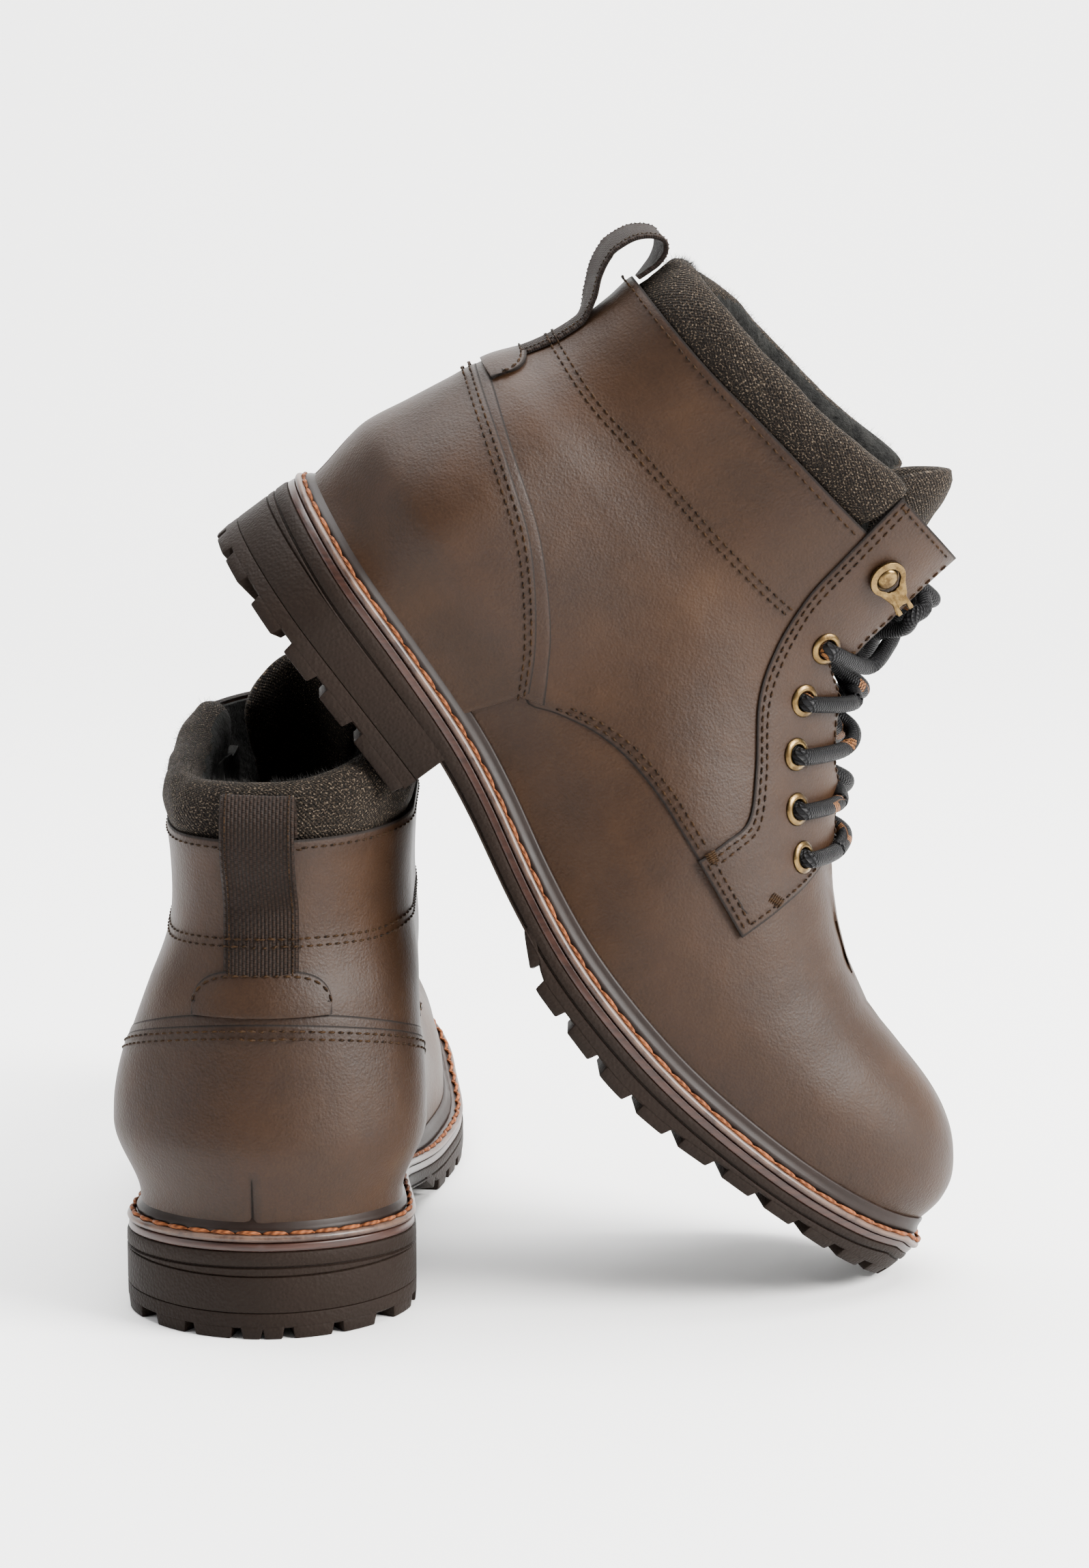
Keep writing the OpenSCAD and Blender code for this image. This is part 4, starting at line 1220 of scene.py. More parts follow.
# The outer edge ends in the fork; both edges have 40 points, so that each meets its own
tip_x = hook_long - hook_wide / 2
outer_loop = arc(hook_wide / 2, 50, 310) + [
    (7.2, -3.1), (9.4, -2.5), (tip_x - 0.3, -2.9), (tip_x, -2.4), (tip_x - 0.1, -1.1),
    (tip_x - 2.6, -0.75), (tip_x - 3.0, 0.0), (tip_x - 2.6, 0.75), (tip_x - 0.1, 1.1),
    (tip_x, 2.4), (tip_x - 0.3, 2.9), (9.4, 2.5), (7.2, 3.1)]
inner_loop = arc(3.95, 40, 320, 0.45) + [(4.0, -2.2)] * 3 + [
    (4.3, -1.6), (4.5, -0.8), (4.6, -0.4), (4.65, 0.0), (4.6, 0.4), (4.5, 0.8), (4.3, 1.6)
] + [(4.0, 2.2)] * 3
loops = len(outer_loop)
points = [(x, y, 0.6 + 2.6 * float(ease((x - 1) / 10))) for x, y in outer_loop + inner_loop]
faces = [(i, (i + 1) % loops, loops + (i + 1) % loops, loops + i) for i in range(loops)]
hook = mesh_piece("hook", points, faces)
merge(hook, 0.03)
modify(hook, "SOLIDIFY", thickness=hook_metal, offset=1)
bevel(hook, 0.32, math.radians(38), segments=3)
rivet = spun("rivet", [(0.05, 2.55), (1.4, 2.5), (2.5, 2.25), (3.1, 1.85), (rivet_radius, 1.2),
                       (rivet_radius, 0.2), (rivet_radius + 0.9, 0.0), (rivet_radius + 0.9, -0.9)], 32)
join(hook, rivet)
places = []
for s in (-1, 1):
    turned, at = frame_on(HOOK, s, (1.0, 0, -0.06))
    places.append(Matrix.Translation(at + outward(HOOK, s) * stay_lift) @ turned)
hooks = copied_to(hook, places, "lace_hooks")
outward_faces(hooks)
pair(hooks, "lace_hooks", [BRASS], smooth=45)

# ---- Fleece lining -----------------------------------------------------------------
# Charcoal fleece glued inside the whole upper. It is thickest at the top, where it
# turns over into the collar.
def fleece_finish():
    fleece = Finish("fleece", specular_ior_level=0.08, sheen_weight=0.08, sheen_roughness=0.6)
    fleece.shader.inputs["Sheen Tint"].default_value = (0.4, 0.4, 0.38, 1)
    spot = fleece.spot()
    tuft = fleece.noise(spot, 260.0, 4.0, 0.65)
    fibre = fleece.noise(spot, 1300.0, 3.0, 0.7)
    colour = fleece.blend(tuft.within(0.3, 0.7), (0.0019, 0.002, 0.002), (0.0098, 0.0098, 0.0091))
    colour = fleece.blend(fibre.within(0.5, 0.8) * 0.5, colour, (0.021, 0.02, 0.018))
    fleece.relief(tuft * 0.0012 + fibre * 0.0004)
    return fleece.feed(base_color=colour, roughness=0.95)


FLEECE = fleece_finish()
LINING_FRONT = [(98.5, 27), (117, 40.5), (136, 54.6), (152, 66), (157, 78), (152, 89.5),
                (138, 102.6), (129, 116), (122.5, 132), (119.6, 146), (117.4, 157), (115.5, 160)]
LINING_REAR = [(101, 29.5), (120, 40), (140, 54), (158, 66), (174, 72), (186, 78), (192, 86)]
lining_seat, fleece_thick, lining_deep = 2.2, 3.0, 5.9
collar_thick = 12.0


def lining_top(t):
    t = np.asarray(t, float)
    rim = along(t, TOPLINE) + np.array([0, 2.0])
    end = np.stack([mix(110, 115.5, (t - 0.97) / 0.03), mix(157, 160, (t - 0.97) / 0.03)], -1)
    return np.where((t < 0.97)[..., None], rim, end)


def soft_noise(points, scale, seed=0.0):
    """Gentle unevenness: a few sine waves that cross."""
    x, y, z = (points[..., k] / scale + seed for k in range(3))
    return (np.sin(1.7 * x + 2.1 * y) + np.sin(2.3 * y - 1.3 * z + 1.1) + np.sin(1.9 * z + 1.2 * x + 2.3)
            + 0.6 * np.sin(4.1 * x - 3.3 * z) + 0.6 * np.sin(3.7 * y + 3.9 * z)) / 4


lining_grid = both_grid(60, 70, sole_line(float(back_x(32.0)), LINING_FRONT[0][0], lining_seat),
                        lining_top, line(LINING_FRONT))
rise = np.linspace(0, 1, 61)[:, None]
deep = lining_deep + (collar_thick - 3.6 - lining_deep) * ease((rise - 0.72) / 0.28)
deep = deep + 0.5 * soft_noise(lining_grid, 5.0)
lining_grid = lining_grid - grid_normals(lining_grid) * deep[..., None]
shaft_lining = panel("shaft_lining", lining_grid, 0.0, fleece_thick, [], edge=0)
pair(shaft_lining, "shaft_lining", [FLEECE], smooth=80)
vamp_lining = panel("vamp_lining", toe_grid(30, 30, LINING_REAR, 3.3, lining_seat), -lining_deep,
                    fleece_thick, [], tip=True, edge=0)
pair(vamp_lining, "vamp_lining", [FLEECE], smooth=80)

# ---- Collar ------------------------------------------------------------------------
# A padded roll of flecked tweed sewn inside the top edge. Foam fills it, so it swells
# between its seams, and its inner side is fleece. On the left boot the right boot's
# heel presses it flat.
def tweed_finish():
    tweed = Finish("tweed", specular_ior_level=0.1, sheen_weight=0.05, sheen_roughness=0.5)
    tweed.shader.inputs["Sheen Tint"].default_value = (0.5, 0.42, 0.34, 1)
    uv = tweed.uv()
    wobble = tweed.noise(uv, 0.6, 2.0)
    u = tweed.part_of(uv, 0) + wobble * 0.9
    v = tweed.part_of(uv, 1) + wobble * 0.7
    twill = ((u + v) * 4.6).sine() * 0.5 + 0.5
    weft = ((u * 0.6 - v * 1.2) * 6.2).sine() * 0.5 + 0.5
    fleck = tweed.noise(tweed.joined(u * 0.8, v * 1.4), 1.3, 4.0, 0.75)
    spark = tweed.noise(tweed.joined(u * 0.9 + 31.0, v * 0.9), 1.6, 2.0, 0.6).within(0.57, 0.63)
    colour = tweed.ramp(fleck, [(0.36, (0.0013, 0.00099, 0.00072)), (0.5, (0.004, 0.0027, 0.0017)),
                                (0.58, (0.015, 0.01, 0.0066)), (0.68, (0.042, 0.03, 0.019))])
    colour = tweed.blend(spark, colour, (0.1, 0.075, 0.052))
    colour = tweed.blend((1.0 - twill * weft) * 0.4, colour, (0.0013, 0.00093, 0.00066))
    hair = tweed.noise(tweed.spot(), 1500.0, 2.0)
    tweed.relief(twill * 0.00022 + weft * 0.00016 + fleck * 0.0003 + hair * 0.0001)
    return tweed.feed(base_color=colour, roughness=fleck * 0.15 + 0.75)


TWEED = tweed_finish()
# The roll's section: inwards from the skin, and up from the topline
ROLL = [(1.9, -5.0), (1.3, -1.2), (-0.1, 0.9), (-1.15, 3.6), (-1.45, 6.6), (-1.15, 9.6),
        (-0.1, 12.4), (2.0, 14.7), (4.9, 15.5), (7.9, 14.6), (10.3, 11.9), (11.5, 8.0),
        (11.4, 4.2), (10.6, 0.4), (9.6, -5.0)]
roll_mid = (5.2, 5.0)
loop_room = 2.4
press_x = lean_x + heel_front * math.cos(lean)
press_z = lean_z - heel_front * math.sin(lean) - 0.7
roll_steps, collar_half = 46, 110
squeezed = 0.1


def press_top(y):
    """The level of the right heel's edge over the left collar."""
    front_face = (press_x - y) / math.tan(math.pi / 2 - lean)
    under_face = (y - press_x) * math.tan(math.pi / 2 - lean)
    return press_z + np.maximum(0, np.maximum(front_face, under_face))


def collar_rings(pressed):
    """The roll's sections round the topline, and their uv in millimetres."""
    section = along(np.linspace(0, 1, roll_steps), ROLL)
    rings = []
    for j in range(-collar_half, collar_half + 1):
        s = -1 if j < 0 else 1
        u = float(crowd(abs(j) / collar_half))
        e = along(u, TOPLINE)
        x = min(e[0], 112.0)
        n = outward((max(x, float(back_x(e[1])) + 0.3), e[1]), s)
        flat = np.array([-1.0, 0.0]) if j == 0 else unit(n[:2])
        at = skin(x, e[1], s)
        back = loop_room * (1 - ease(u / 0.16))
        end = float(round_end((1 - u) * 70, 9) * 0.35 + 0.65)
        d = mix(section[:, 0], np.maximum(section[:, 0], 0), back / loop_room) + back
        d = mix(roll_mid[0], d, end)
        h = roll_mid[1] + (section[:, 1] - roll_mid[1]) * mix(1.06, 0.92, u) * mix(1, end, 0.5)
        h += ease((section[:, 1] + 5) / 14) * (4 * ease((u - 0.55) / 0.4) + (s > 0) * 6 * ease(u / 0.25))
        ring = np.column_stack([at[0] - d * flat[0], at[1] - d * flat[1], e[1] + h])
        soft = soft_noise(ring, 6.0, 3.0) * 0.55 + soft_noise(ring, 2.4, 1.0) * 0.16
        ring += (soft * ease((section[:, 1] + 1) / 5))[:, None] * np.array([*flat, 0.4])
        if pressed and s > 0:
            dent = ease((x - 9) / 14)
            limit = np.maximum(press_top(ring[:, 1]), e[1] + section[:, 1] * squeezed)
            ring[:, 2] = mix(ring[:, 2], np.minimum(ring[:, 2], limit), dent)
        rings.append(ring)
    rings = np.array(rings)
    ways = run_along(rings[:, 10])
    uvs = [np.column_stack([np.full(roll_steps, way), run_along(ring)])
           for way, ring in zip(ways, rings)]
    return rings, np.array(uvs)


inner_from = 0.62
for side in PLACES:
    rings, uvs = collar_rings(side == "left")
    roll = mesh_piece("collar", rings.reshape(-1, 3), ring_faces(*rings.shape[:2]), uvs.reshape(-1, 2))
    outward_faces(roll)
    collar = place_copy(roll, side, "collar", [TWEED, FLEECE], smooth=80)
    corner_v = collar.data.uv_layers.active.data
    inner_v = uvs[:, -1, 1].mean() * inner_from
    for f in collar.data.polygons:
        v = sum(corner_v[k].uv[1] for k in f.loop_indices) / len(f.loop_indices)
        f.material_index = 1 if v > inner_v else 0
    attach(collar, f"{side}_boot")
    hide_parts(f"{side}_collar")
    bpy.data.objects.remove(roll)

# ---- Tongue ------------------------------------------------------------------------
# A padded tweed tongue behind the laces. Its top stands above the collar and curls
# round the shin, and its foot is sewn in under the vamp.
FRONT = [(191, 90.5), (181, 99), (168, 110), (156, 122), (148, 134), (144.5, 148), (142, 162),
         (139, 177), (134.5, 197)]


def front_skin(p, a, lift):
    """A point p along the line of the laces, a degrees round, lifted outwards."""
    p, a, lift = (np.array(v, float) for v in np.broadcast_arrays(p, a, lift))
    at = along(p, FRONT)
    d = unit(along(np.minimum(1, p + 0.02), FRONT) - along(np.maximum(0, p - 0.02), FRONT))
    r = crown(at[..., 0])
    c, sn = np.cos(np.radians(a)), np.sin(np.radians(a))
    q = at + (r * (1 - c))[..., None] * np.stack([-d[..., 1], d[..., 0]], -1)
    w = fullness(q[..., 0], q[..., 1], np.where(a < 0, -1, 1))
    n = unit(np.stack([d[..., 1] * c / r, sn / w, -d[..., 0] * c / r], -1))
    x, z = q[..., 0], q[..., 1]
    return np.stack([x, shaft_shift(x, z) + w * sn, z], -1) + lift[..., None] * n


def two_sheets(name, sheets, uv):
    """A closed mesh between two sheets of the same shape, which share their uv."""
    rows, cols = sheets[0].shape[:2]
    count = rows * cols
    index = np.arange(count).reshape(rows, cols)
    quads = np.stack([index[:-1, :-1], index[:-1, 1:], index[1:, 1:], index[1:, :-1]], -1).reshape(-1, 4)
    rim = np.concatenate([index[0], index[1:, -1], index[-1, -2::-1], index[-2:0:-1, 0]])
    after = np.roll(rim, -1)
    faces = np.concatenate([quads, quads[:, ::-1] + count,
                            np.stack([rim, count + rim, count + after, after], -1)]).tolist()
    piece = mesh_piece(name, np.concatenate([g.reshape(-1, 3) for g in sheets]), faces,
                       np.tile(uv.reshape(-1, 2), (2, 1)))
    outward_faces(piece)
    return piece


tongue_rows, tongue_cols, tongue_thick = 80, 48, 7.4
rows = np.linspace(0, 1, tongue_rows + 1)[:, None]
cols = np.linspace(-1, 1, tongue_cols + 1)[None, :]
spread = mix(30, 42, ease(rows * 2)) + 8 * ease((rows - 0.7) / 0.3)
crest = 0.965 - 0.05 * cols ** 2 - 0.03 * np.abs(cols) ** 6
run_up = mix(0.05, crest, rows)
edge = (round_end((1 - np.abs(cols)) * 22, 5.0) * round_end((1 - rows) * 95, 5.5)
        * round_end(rows * 60 + 2, 5.0))
quilt = 1 - 0.28 * np.exp(-((rows - 0.80) / 0.012) ** 2)
half_thick = tongue_thick / 2 * (0.12 + 0.88 * edge) * quilt
sheets = []
for sign in (1, -1):
    puffed = -9.0 - tongue_thick / 2 + sign * half_thick
    grid = front_skin(run_up, spread * cols, puffed)
    grid[..., 0] -= 7 * run_up ** 4
    grid = grid + 0.35 * sign * soft_noise(grid, 5.0)[..., None] * unit(np.array([1.0, 0, 0.3]))
    sheets.append(grid)
across, up = reach_from(sheets[0], "left"), reach_from(sheets[0], "low")
tongue_piece = two_sheets("tongue", sheets, np.stack([across, up], -1))
for side in PLACES:
    tongue = place_copy(tongue_piece, side, "tongue", [TWEED], smooth=80)
    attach(tongue, f"{side}_tongue")
    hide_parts(f"{side}_tongue")
bpy.data.objects.remove(tongue_piece)

# ---- Lace --------------------------------------------------------------------------
# A round braided cord in black with copper flecks, crossed up through the eyelets and
# round the hooks, its ends tucked inside the boot.
lace_dia = 5.0
LACE_AT = [0.03, 0.15, 0.265, 0.375, 0.48]
lace_over, lace_under = 3.9, -4.7


def half_lace(s):
    """From the lowest eyelet on one side up to the tucked end."""
    route = []
    high = lace_over if s < 0 else -1.2
    for k in range(5):
        side = s if k % 2 == 0 else -s
        e, p = EYELETS[k], LACE_AT[k]
        way, hole = outward(e, side), skin(*e, side)
        route += [hole + lace_under * way, hole + 1.6 * way,
                  skin(e[0] + 1.6, e[1] + 0.6, side) + 4.0 * way,
                  front_skin(p + 0.02, side * 15, lace_over + 0.3),
                  front_skin(p + (0.1 if k == 4 else 0.055), 0, high)]
        if k < 4:
            route.append(front_skin(p + 0.09, -side * 15, lace_under))
    route += [front_skin(0.64, -s * 11, lace_over), front_skin(0.68, -s * 15, lace_over + 0.4),
              front_skin(0.72, -s * 11, lace_over), front_skin(0.75, 0, lace_over if s < 0 else -2.2),
              front_skin(0.74, s * 14, lace_under), front_skin(0.7, s * 24, lace_under)]
    return route


def lace_finish():
    cord = Finish("lace_cord", specular_ior_level=0.15)
    uv = cord.uv()
    way, turn = cord.part_of(uv, 0), cord.part_of(uv, 1)
    turns_count = turn * (4 / math.pi)
    pitch = way * 1.05
    left_hand = ((turns_count + pitch) * math.pi).sine().size()
    right_hand = ((turns_count - pitch) * math.pi).sine().size()
    braid = (left_hand * right_hand) ** 0.5
    cell_a = (turns_count + pitch).whole()
    cell_b = (turns_count - pitch).whole()
    stripe = (cell_a * 0.3333).sine().above(0.86)
    beat = (way * 0.42 + cell_b * 0.2).sine().above(0.35)
    # Painted shade: the braid's hollows are coloured dark and its crowns lighter
    colour = cord.blend(braid, (0.0013, 0.0012, 0.0013), (0.0073, 0.0073, 0.0083))
    colour = cord.blend(stripe * beat * braid.within(0.25, 0.6), colour, (0.18, 0.075, 0.026))
    cord.relief(braid * 0.0006 + cord.noise(cord.spot(), 2000.0) * 0.00005)
    return cord.feed(base_color=colour, roughness=0.62 - braid * 0.12)


route = half_lace(-1)[::-1] + [front_skin(0.03, 0, lace_under)] + half_lace(1)
smooth_route = along(np.linspace(0, 1, 1 + 9 * (len(route) - 1)), route)
girth = np.full(len(smooth_route), lace_dia / 2)
lace = mesh_piece("lace", *tube_mesh(smooth_route, girth, 16, (0.13, 0.9, 0.41)))
pair(lace, "lace", [lace_finish()], smooth=80)

# ---- Facings -----------------------------------------------------------------------
# Fleece glued to the back of each stay's top, where the leather stands above the collar.
for name, s in (("facing_outer", -1), ("facing_inner", 1)):
    facing = panel(name, stays[s][70:117, 1:-1], stay_lift - leather_thick - 0.15, 1.6, [],
                   flip=s < 0, edge=0.2)
    pair(facing, name, [FLEECE], [], smooth=60)

# ---- Webbing and pull loop ---------------------------------------------------------
# One length of ribbed webbing, sewn down the back and doubled over into a pull loop. Its
# foot runs in under the heel tab, and its end is sewn in behind the collar.
strap_half, strap_thick, strap_lift = 11.0, 1.5, 1.55
STRAP = [(12.3, 127.6), (9, 133.6), (4.6, 139), (1.9, 144), (1.2, 148), (1.9, 153.6),
         (4.4, 157.8), (7.7, 160), (10.6, 158.4), (12.6, 155), (13.4, 151.5), (14.0, 147.5)]
strap_foot = [(float(back_x(z)) - strap_lift, z) for z in (101, 105, 109, 113, 117, 121, 124.5)]
strap_line = np.array(strap_foot + STRAP)
strap_way = along(np.linspace(0, 1, 12 * (len(strap_line) - 1) + 1), strap_line)
strap_gone = run_along(strap_way)
strap_rows, strap_cols = 110, 22


def strap_grid(lift, columns):
    """Points on the webbing at heights above its middle, across its width."""
    way = np.linspace(0, strap_gone[-1], strap_rows + 1)
    x, z = np.interp(way, strap_gone, strap_way[:, 0]), np.interp(way, strap_gone, strap_way[:, 1])
    ahead = unit(np.gradient(np.column_stack([x, z]), axis=0))
    out_x, out_z = -ahead[:, 1], ahead[:, 0]
    y = np.asarray(columns)[None, :] * np.ones((len(way), 1))
    rising = way <= strap_gone[-1] * 0.6
    held = (1 - ease((z - 124) / 11)) * rising
    low = np.minimum(z, 140)[:, None] + 0 * y
    round_back = back_skin(y, low)[..., 0] - back_skin(0 * y, low)[..., 0]
    ripple = 0.25 * np.sin(way / 5.0)[:, None] * (y / strap_half) ** 2 * (1 - held[:, None])
    fall = round_back * np.maximum(held, 0.12 * rising)[:, None]
    # The free loop hangs a little askew
    askew = -0.2 * y * (1 - held[:, None]) * np.minimum(1, (way[-1] - way) / 12)[:, None]
    return np.stack([x[:, None] + (lift + ripple) * out_x[:, None] + fall + askew, y,
                     z[:, None] + (lift + ripple) * out_z[:, None]], -1), way


strap_sheets = []
columns = np.linspace(-1, 1, strap_cols + 1)
for sign in (1, -1):
    grid, way = strap_grid(sign * strap_thick / 2, columns * strap_half)
    edge_turn = (strap_thick / 2 - 0.15) * (1 - round_end((1 - np.abs(columns)) * strap_half, 0.9))
    other, _ = strap_grid(0.0, columns * strap_half)
    grid = mix(grid, other, (edge_turn / (strap_thick / 2))[None, :, None])
    strap_sheets.append(grid)
uv = np.stack(np.broadcast_arrays((columns * strap_half)[None, :], way[:, None]), -1)
strap = two_sheets("webbing", strap_sheets, uv)


def webbing_finish():
    webbing = Finish("webbing", specular_ior_level=0.12)
    uv = webbing.uv()
    u, v = webbing.part_of(uv, 0), webbing.part_of(uv, 1)
    # Pairs of warp cords that weave over and under fine weft threads
    cord = (u * (math.pi / 1.1)).sine().size()
    turn_over = ((u / 1.1).whole() * math.pi + v * (math.pi / 1.25)).sine() * 0.5 + 0.5
    fine = (v * 9.0 + (u / 1.1).whole() * 2.0).sine() * 0.5 + 0.5
    height = cord ** 0.6 * (turn_over * 0.6 + 0.4)
    patch = webbing.noise(webbing.spot(), 160.0, 3.0)
    # Painted shade: the hollows between the cords are coloured darker than their crowns
    colour = webbing.blend(height, (0.0016, 0.0009, 0.0006), (0.012, 0.0061, 0.0036))
    colour = webbing.blend(fine * patch * 0.5, colour, (0.025, 0.014, 0.0086))
    webbing.relief(height * 0.0007 + fine * 0.0001)
    return webbing.feed(base_color=colour, roughness=patch * 0.2 + 0.62)


def sew(batch, points, normals, pitch=3.1, thick=0.34, long=0.72, proud=0.16):
    """A row of stitches along a seam. Each is a short thread that dips in at its ends."""
    gone = run_along(points)
    total = gone[-1]
    count = int(round(total / pitch))
    for k in range(count):
        t = np.linspace(0, 1, 6)
        at = (k + 0.5 + (t - 0.5) * long) * total / count
        p = np.column_stack([np.interp(at, gone, points[:, c]) for c in range(3)])
        n = np.column_stack([np.interp(at, gone, normals[:, c]) for c in range(3)])
        bow = np.sin(np.pi * t)
        p = p + n * ((proud + 0.3) * bow ** 0.5 - 0.3)[:, None]
        batch.add(*tube_mesh(p, thick * (0.55 + 0.45 * bow ** 0.6), 6, n[3]))


STITCHES = thread_finish("stitching", (0.0022, 0.001, 0.0005), (0.017, 0.0082, 0.0028), 5.0, 0.5, 0.55)
edge_rows = Batch()
for y in (-strap_half + 1.7, strap_half - 1.7):
    grid, _ = strap_grid(strap_thick / 2, np.array([y - 0.5, y, y + 0.5]))
    n = np.cross(np.gradient(grid, axis=0)[:, 1], np.gradient(grid, axis=1)[:, 1])
    sew(edge_rows, grid[8:100, 1], -unit(n)[8:100], 2.6, 0.3)
edges = edge_rows.make("webbing_edges")
outward_faces(edges)
ribbed = webbing_finish()
for side in PLACES:
    whole = place_copy(strap, side, "webbing", [ribbed], smooth=60)
    rows = place_copy(edges, side, "webbing_edges", [STITCHES], smooth=60)
    for cloth in (whole, rows):
        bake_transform(cloth)
        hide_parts(f"{side}_back_strap", f"{side}_pull_loop")
bpy.data.objects.remove(strap)
bpy.data.objects.remove(edges)

# ---- Stitching ---------------------------------------------------------------------
# Dark waxed thread whose twist is painted with golden glints of highlight: double rows along the
# counter, the quarters and the rear of the stays, single rows along the topline, the stays' front and
# the tab.
def level_seam(points, drop, lift):
    """A seam that runs round the back of the boot at side-view points."""
    j = np.linspace(-1, 1, 801)
    p = along(crowd(np.abs(j)), points) - np.array([0, drop])
    x, z = p[:, 0], p[:, 1]
    rows = np.stack([skin(np.maximum(x, back_x(z + dz)), z + dz, np.where(j < 0, -1, 1))
                     for dz in (-1, 0, 1)])
    n = grid_normals(rows)[1]
    on_strap = ease((11.8 - np.abs(rows[1][:, 1])) / 0.8) * (rows[1][:, 0] < 40)
    return rows[1] + n * mix(lift, strap_lift + strap_thick / 2 + 0.1, on_strap)[:, None], n


def edge_seam(grid, flip, edge, d, lift, keep):
    """A seam at a distance d inside one edge of a panel, where keep allows it."""
    reach, normals = reach_from(grid, edge), grid_normals(grid, flip)
    if edge in ("left", "right"):
        grid, normals, reach = grid.transpose(1, 0, 2), normals.transpose(1, 0, 2), reach.T
    if edge in ("high", "right"):
        grid, normals, reach = grid[::-1], normals[::-1], reach[::-1]
    both = np.concatenate([grid, normals], axis=-1)
    row = np.array([[np.interp(d, reach[:, k], both[:, k, c]) for c in range(6)]
                    for k in range(reach.shape[1])])
    row = row[keep(row[:, 0], row[:, 2])]
    n = unit(row[:, 3:])
    return row[:, :3] + n * lift, n


SHAFT_ROW = [(13.6, 117.4), (17, 117), (34.6, 116.3), (53.2, 118.1), (72, 119.9), (91.1, 121.7),
             (110.2, 124.5), (119.5, 126.4)]
seams = Batch()
lay = quarter_lift + 0.05
sew(seams, *level_seam(TOPLINE, 2.3, lay - 0.05))
for drop in (0, 2.3):
    sew(seams, *level_seam(SHAFT_ROW, drop, lay))
for drop in (2.0, 4.3):
    sew(seams, *level_seam(COUNTER_TOP, drop, counter_lift + 0.02))
on_stay = stay_lift + 0.05
for s in (-1, 1):
    for d in (1.9, 4.1):
        sew(seams, *edge_seam(quarters[s], s < 0, "low", d, lay, lambda x, z: (x > 97 + d) & (x < 161)))
        sew(seams, *edge_seam(stays[s], s < 0, "left", d, on_stay, lambda x, z: z > 60.5 + d))
        sew(seams, *edge_seam(stays[s], s < 0, "low", d, on_stay, lambda x, z: (x > 162) & (x < 186)))
    sew(seams, *edge_seam(stays[s], s < 0, "right", 2.0, on_stay, lambda x, z: (z > 60) & (z < 172.5)))
    sew(seams, *edge_seam(stays[s], s < 0, "high", 2.0, on_stay, lambda x, z: (x > 113) & (x < 135.5)))
sew(seams, *edge_seam(tab_grid, False, "high", 1.7, 2.35, lambda x, z: z > 97.5))


def bar_tack(a, b, s, lift):
    """Short thick stitches side by side, from one side-view point to another."""
    a, b = np.array(a), np.array(b)
    across = unit(b - a)
    for t in np.linspace(0, 1, 6):
        p = mix(a, b, t)
        n = outward(p, s)
        ends = [skin(p[0] - across[1] * d, p[1] + across[0] * d, s) + n * lift for d in (-1.7, 0, 1.7)]
        sew(seams, np.array(ends), np.array([n] * 3), 3.4, 0.36, 0.95)


for s in (-1, 1):
    bar_tack((183.5, 70.3), (187.0, 71.2), s, stay_lift + 0.1)
    bar_tack((160.5, 64.5), (163.6, 64.0), s, stay_lift + 0.1)
stitching = seams.make("stitching")
outward_faces(stitching)
pair(stitching, "stitching", [STITCHES], [], smooth=60)

# ---- Fleece pile -------------------------------------------------------------------
# Loose fibres of the fleece that stand up along the rim of the collar and inside the
# shaft, so that its outline looks soft.
FIBRE = Finish("fleece_fibre", specular_ior_level=0.2, roughness=0.85).feed(
    base_color=(0.011, 0.0105, 0.0095))
fibres = 5200


def blades(batch, points, ways, sideways, lengths, half):
    """Curved tapering fibres, each a strip of two faces and a tip."""
    for p, d, w, length in zip(points, ways, sideways, lengths):
        a, b, c = p - 0.3 * d, p + d * length * 0.5, p + d * length + w * length * 0.45
        across = np.cross(d, w) * half
        batch.add([a - across, a + across, b - across * 0.8, b + across * 0.8, c],
                  [(0, 1, 3, 2), (2, 3, 4)])


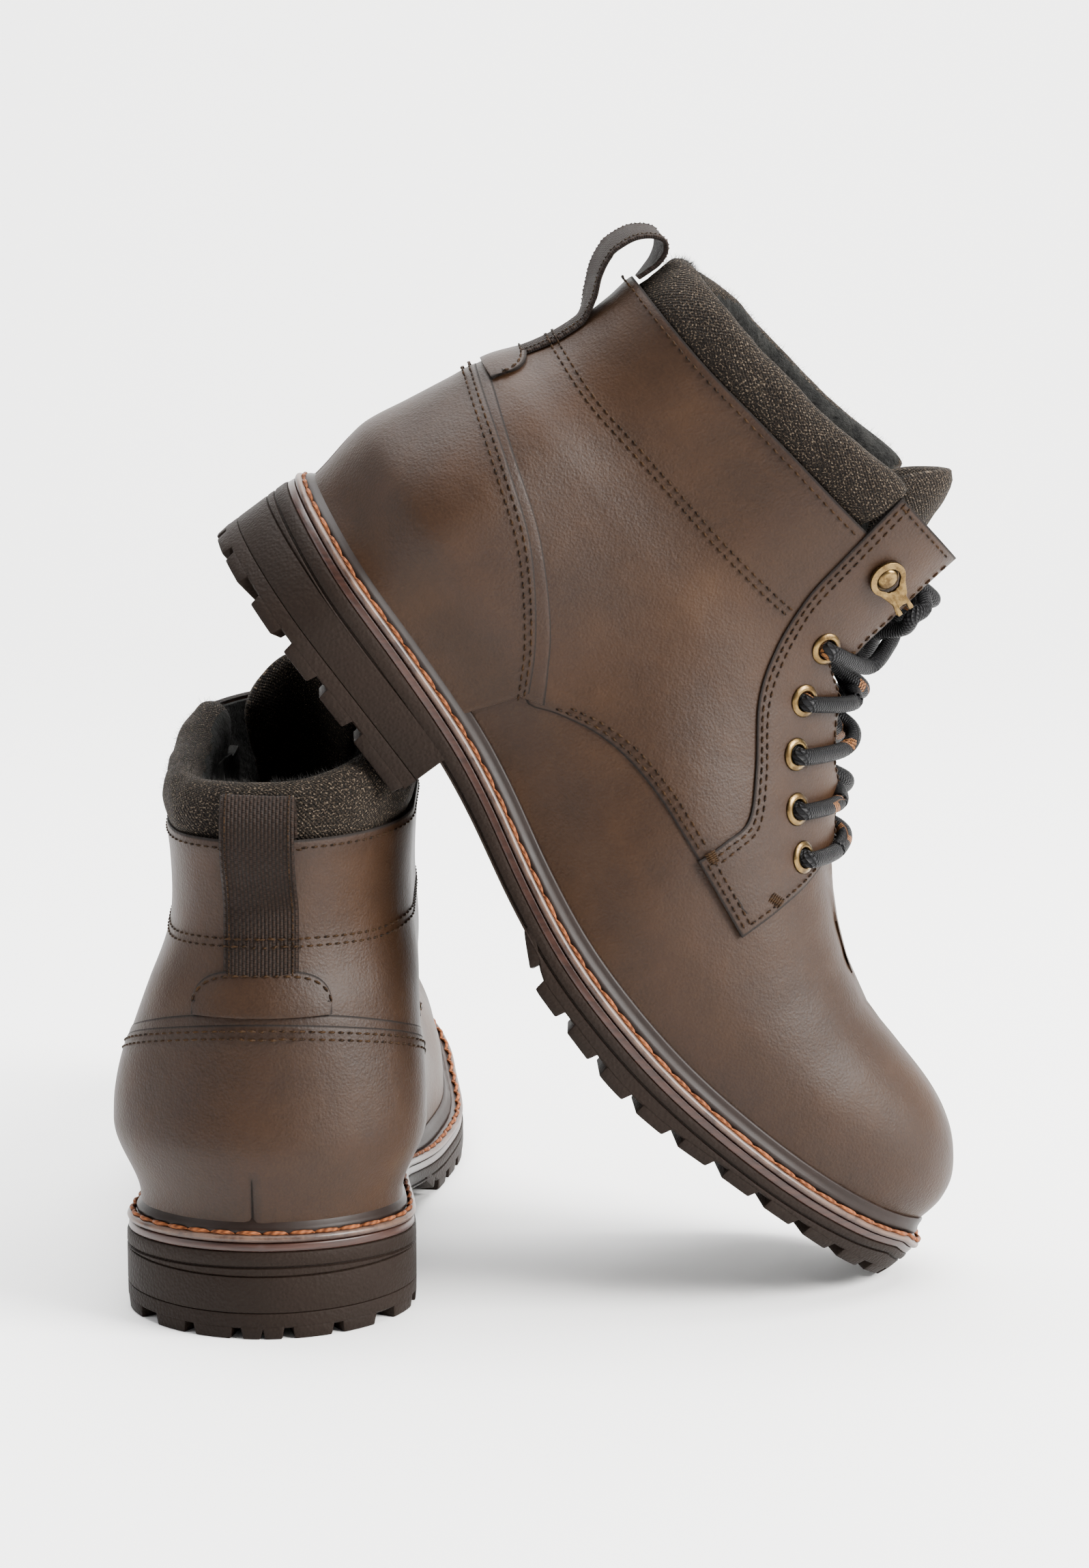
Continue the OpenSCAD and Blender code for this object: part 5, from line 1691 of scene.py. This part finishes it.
for side in PLACES:
    chance = np.random.default_rng(7 if side == "left" else 8)
    rings, _ = collar_rings(side == "left")
    n = grid_normals(rings)
    centre = rings.mean(axis=1, keepdims=True)
    n = n * np.sign((n * (rings - centre)).sum(axis=-1, keepdims=True))
    rows = chance.integers(0, rings.shape[0], fibres)
    cols = np.round(chance.normal(0.66, 0.17, fibres) * roll_steps)
    cols = np.clip(cols, 16, roll_steps - 1).astype(int)
    n = n[rows, cols]
    spots = rings[rows, cols] + chance.normal(0, 0.45, (fibres, 3)) * (1 - np.abs(n))
    ways = unit(n + chance.normal(0, 0.55, (fibres, 3)))
    sideways = unit(chance.normal(0, 1, (fibres, 3)))
    batch = Batch()
    blades(batch, spots, ways, sideways, chance.uniform(0.8, 2.3, fibres), 0.05)
    pile = batch.make("pile")
    fur = place_copy(pile, side, "fleece_pile", [FIBRE], smooth=0)
    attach(fur, f"{side}_boot")
    bpy.data.objects.remove(pile)

# ---- Inside the sole and the upper -------------------------------------------------
# Parts that the finished boot hides: a steel shank, cork filler, a fibre insole board,
# stiffeners at toe and heel, and a fleece footbed at the bottom of the shaft.
def hidden_finish(name, dark, light, grain, rough, metal=0.0):
    made = Finish(name, metallic=metal)
    spot = made.spot()
    speck = made.noise(spot, grain, 4.0, 0.7)
    made.relief(speck * 0.0002)
    colour = made.blend(speck.within(0.35, 0.65), dark, light)
    return made.feed(base_color=colour, roughness=speck * 0.2 + rough)


STEEL = hidden_finish("spring_steel", (0.2, 0.21, 0.23), (0.34, 0.35, 0.37), 500.0, 0.25, 1.0)
CORK = hidden_finish("cork", (0.12, 0.06, 0.03), (0.4, 0.24, 0.12), 420.0, 0.8)
BOARD = hidden_finish("fibre_board", (0.02, 0.013, 0.008), (0.05, 0.034, 0.022), 300.0, 0.8)
FELT = hidden_finish("stiffener_felt", (0.42, 0.36, 0.26), (0.55, 0.48, 0.36), 600.0, 0.85)
INSIDE = {"shank": (STEEL, "spring_steel"), "filler": (CORK, "cork_filler"),
          "insole_board": (BOARD, "board"), "footbed": (FLEECE, "lining_cloth"),
          "toe_puff": (FELT, "stiffener"), "counter_stiffener": (FELT, "stiffener")}
for side in PLACES:
    for name, (finish, slot) in INSIDE.items():
        inner = bpy.data.objects[f"{side}_{name}"]
        inner.data.materials.clear()
        inner.data.materials.append(finish)
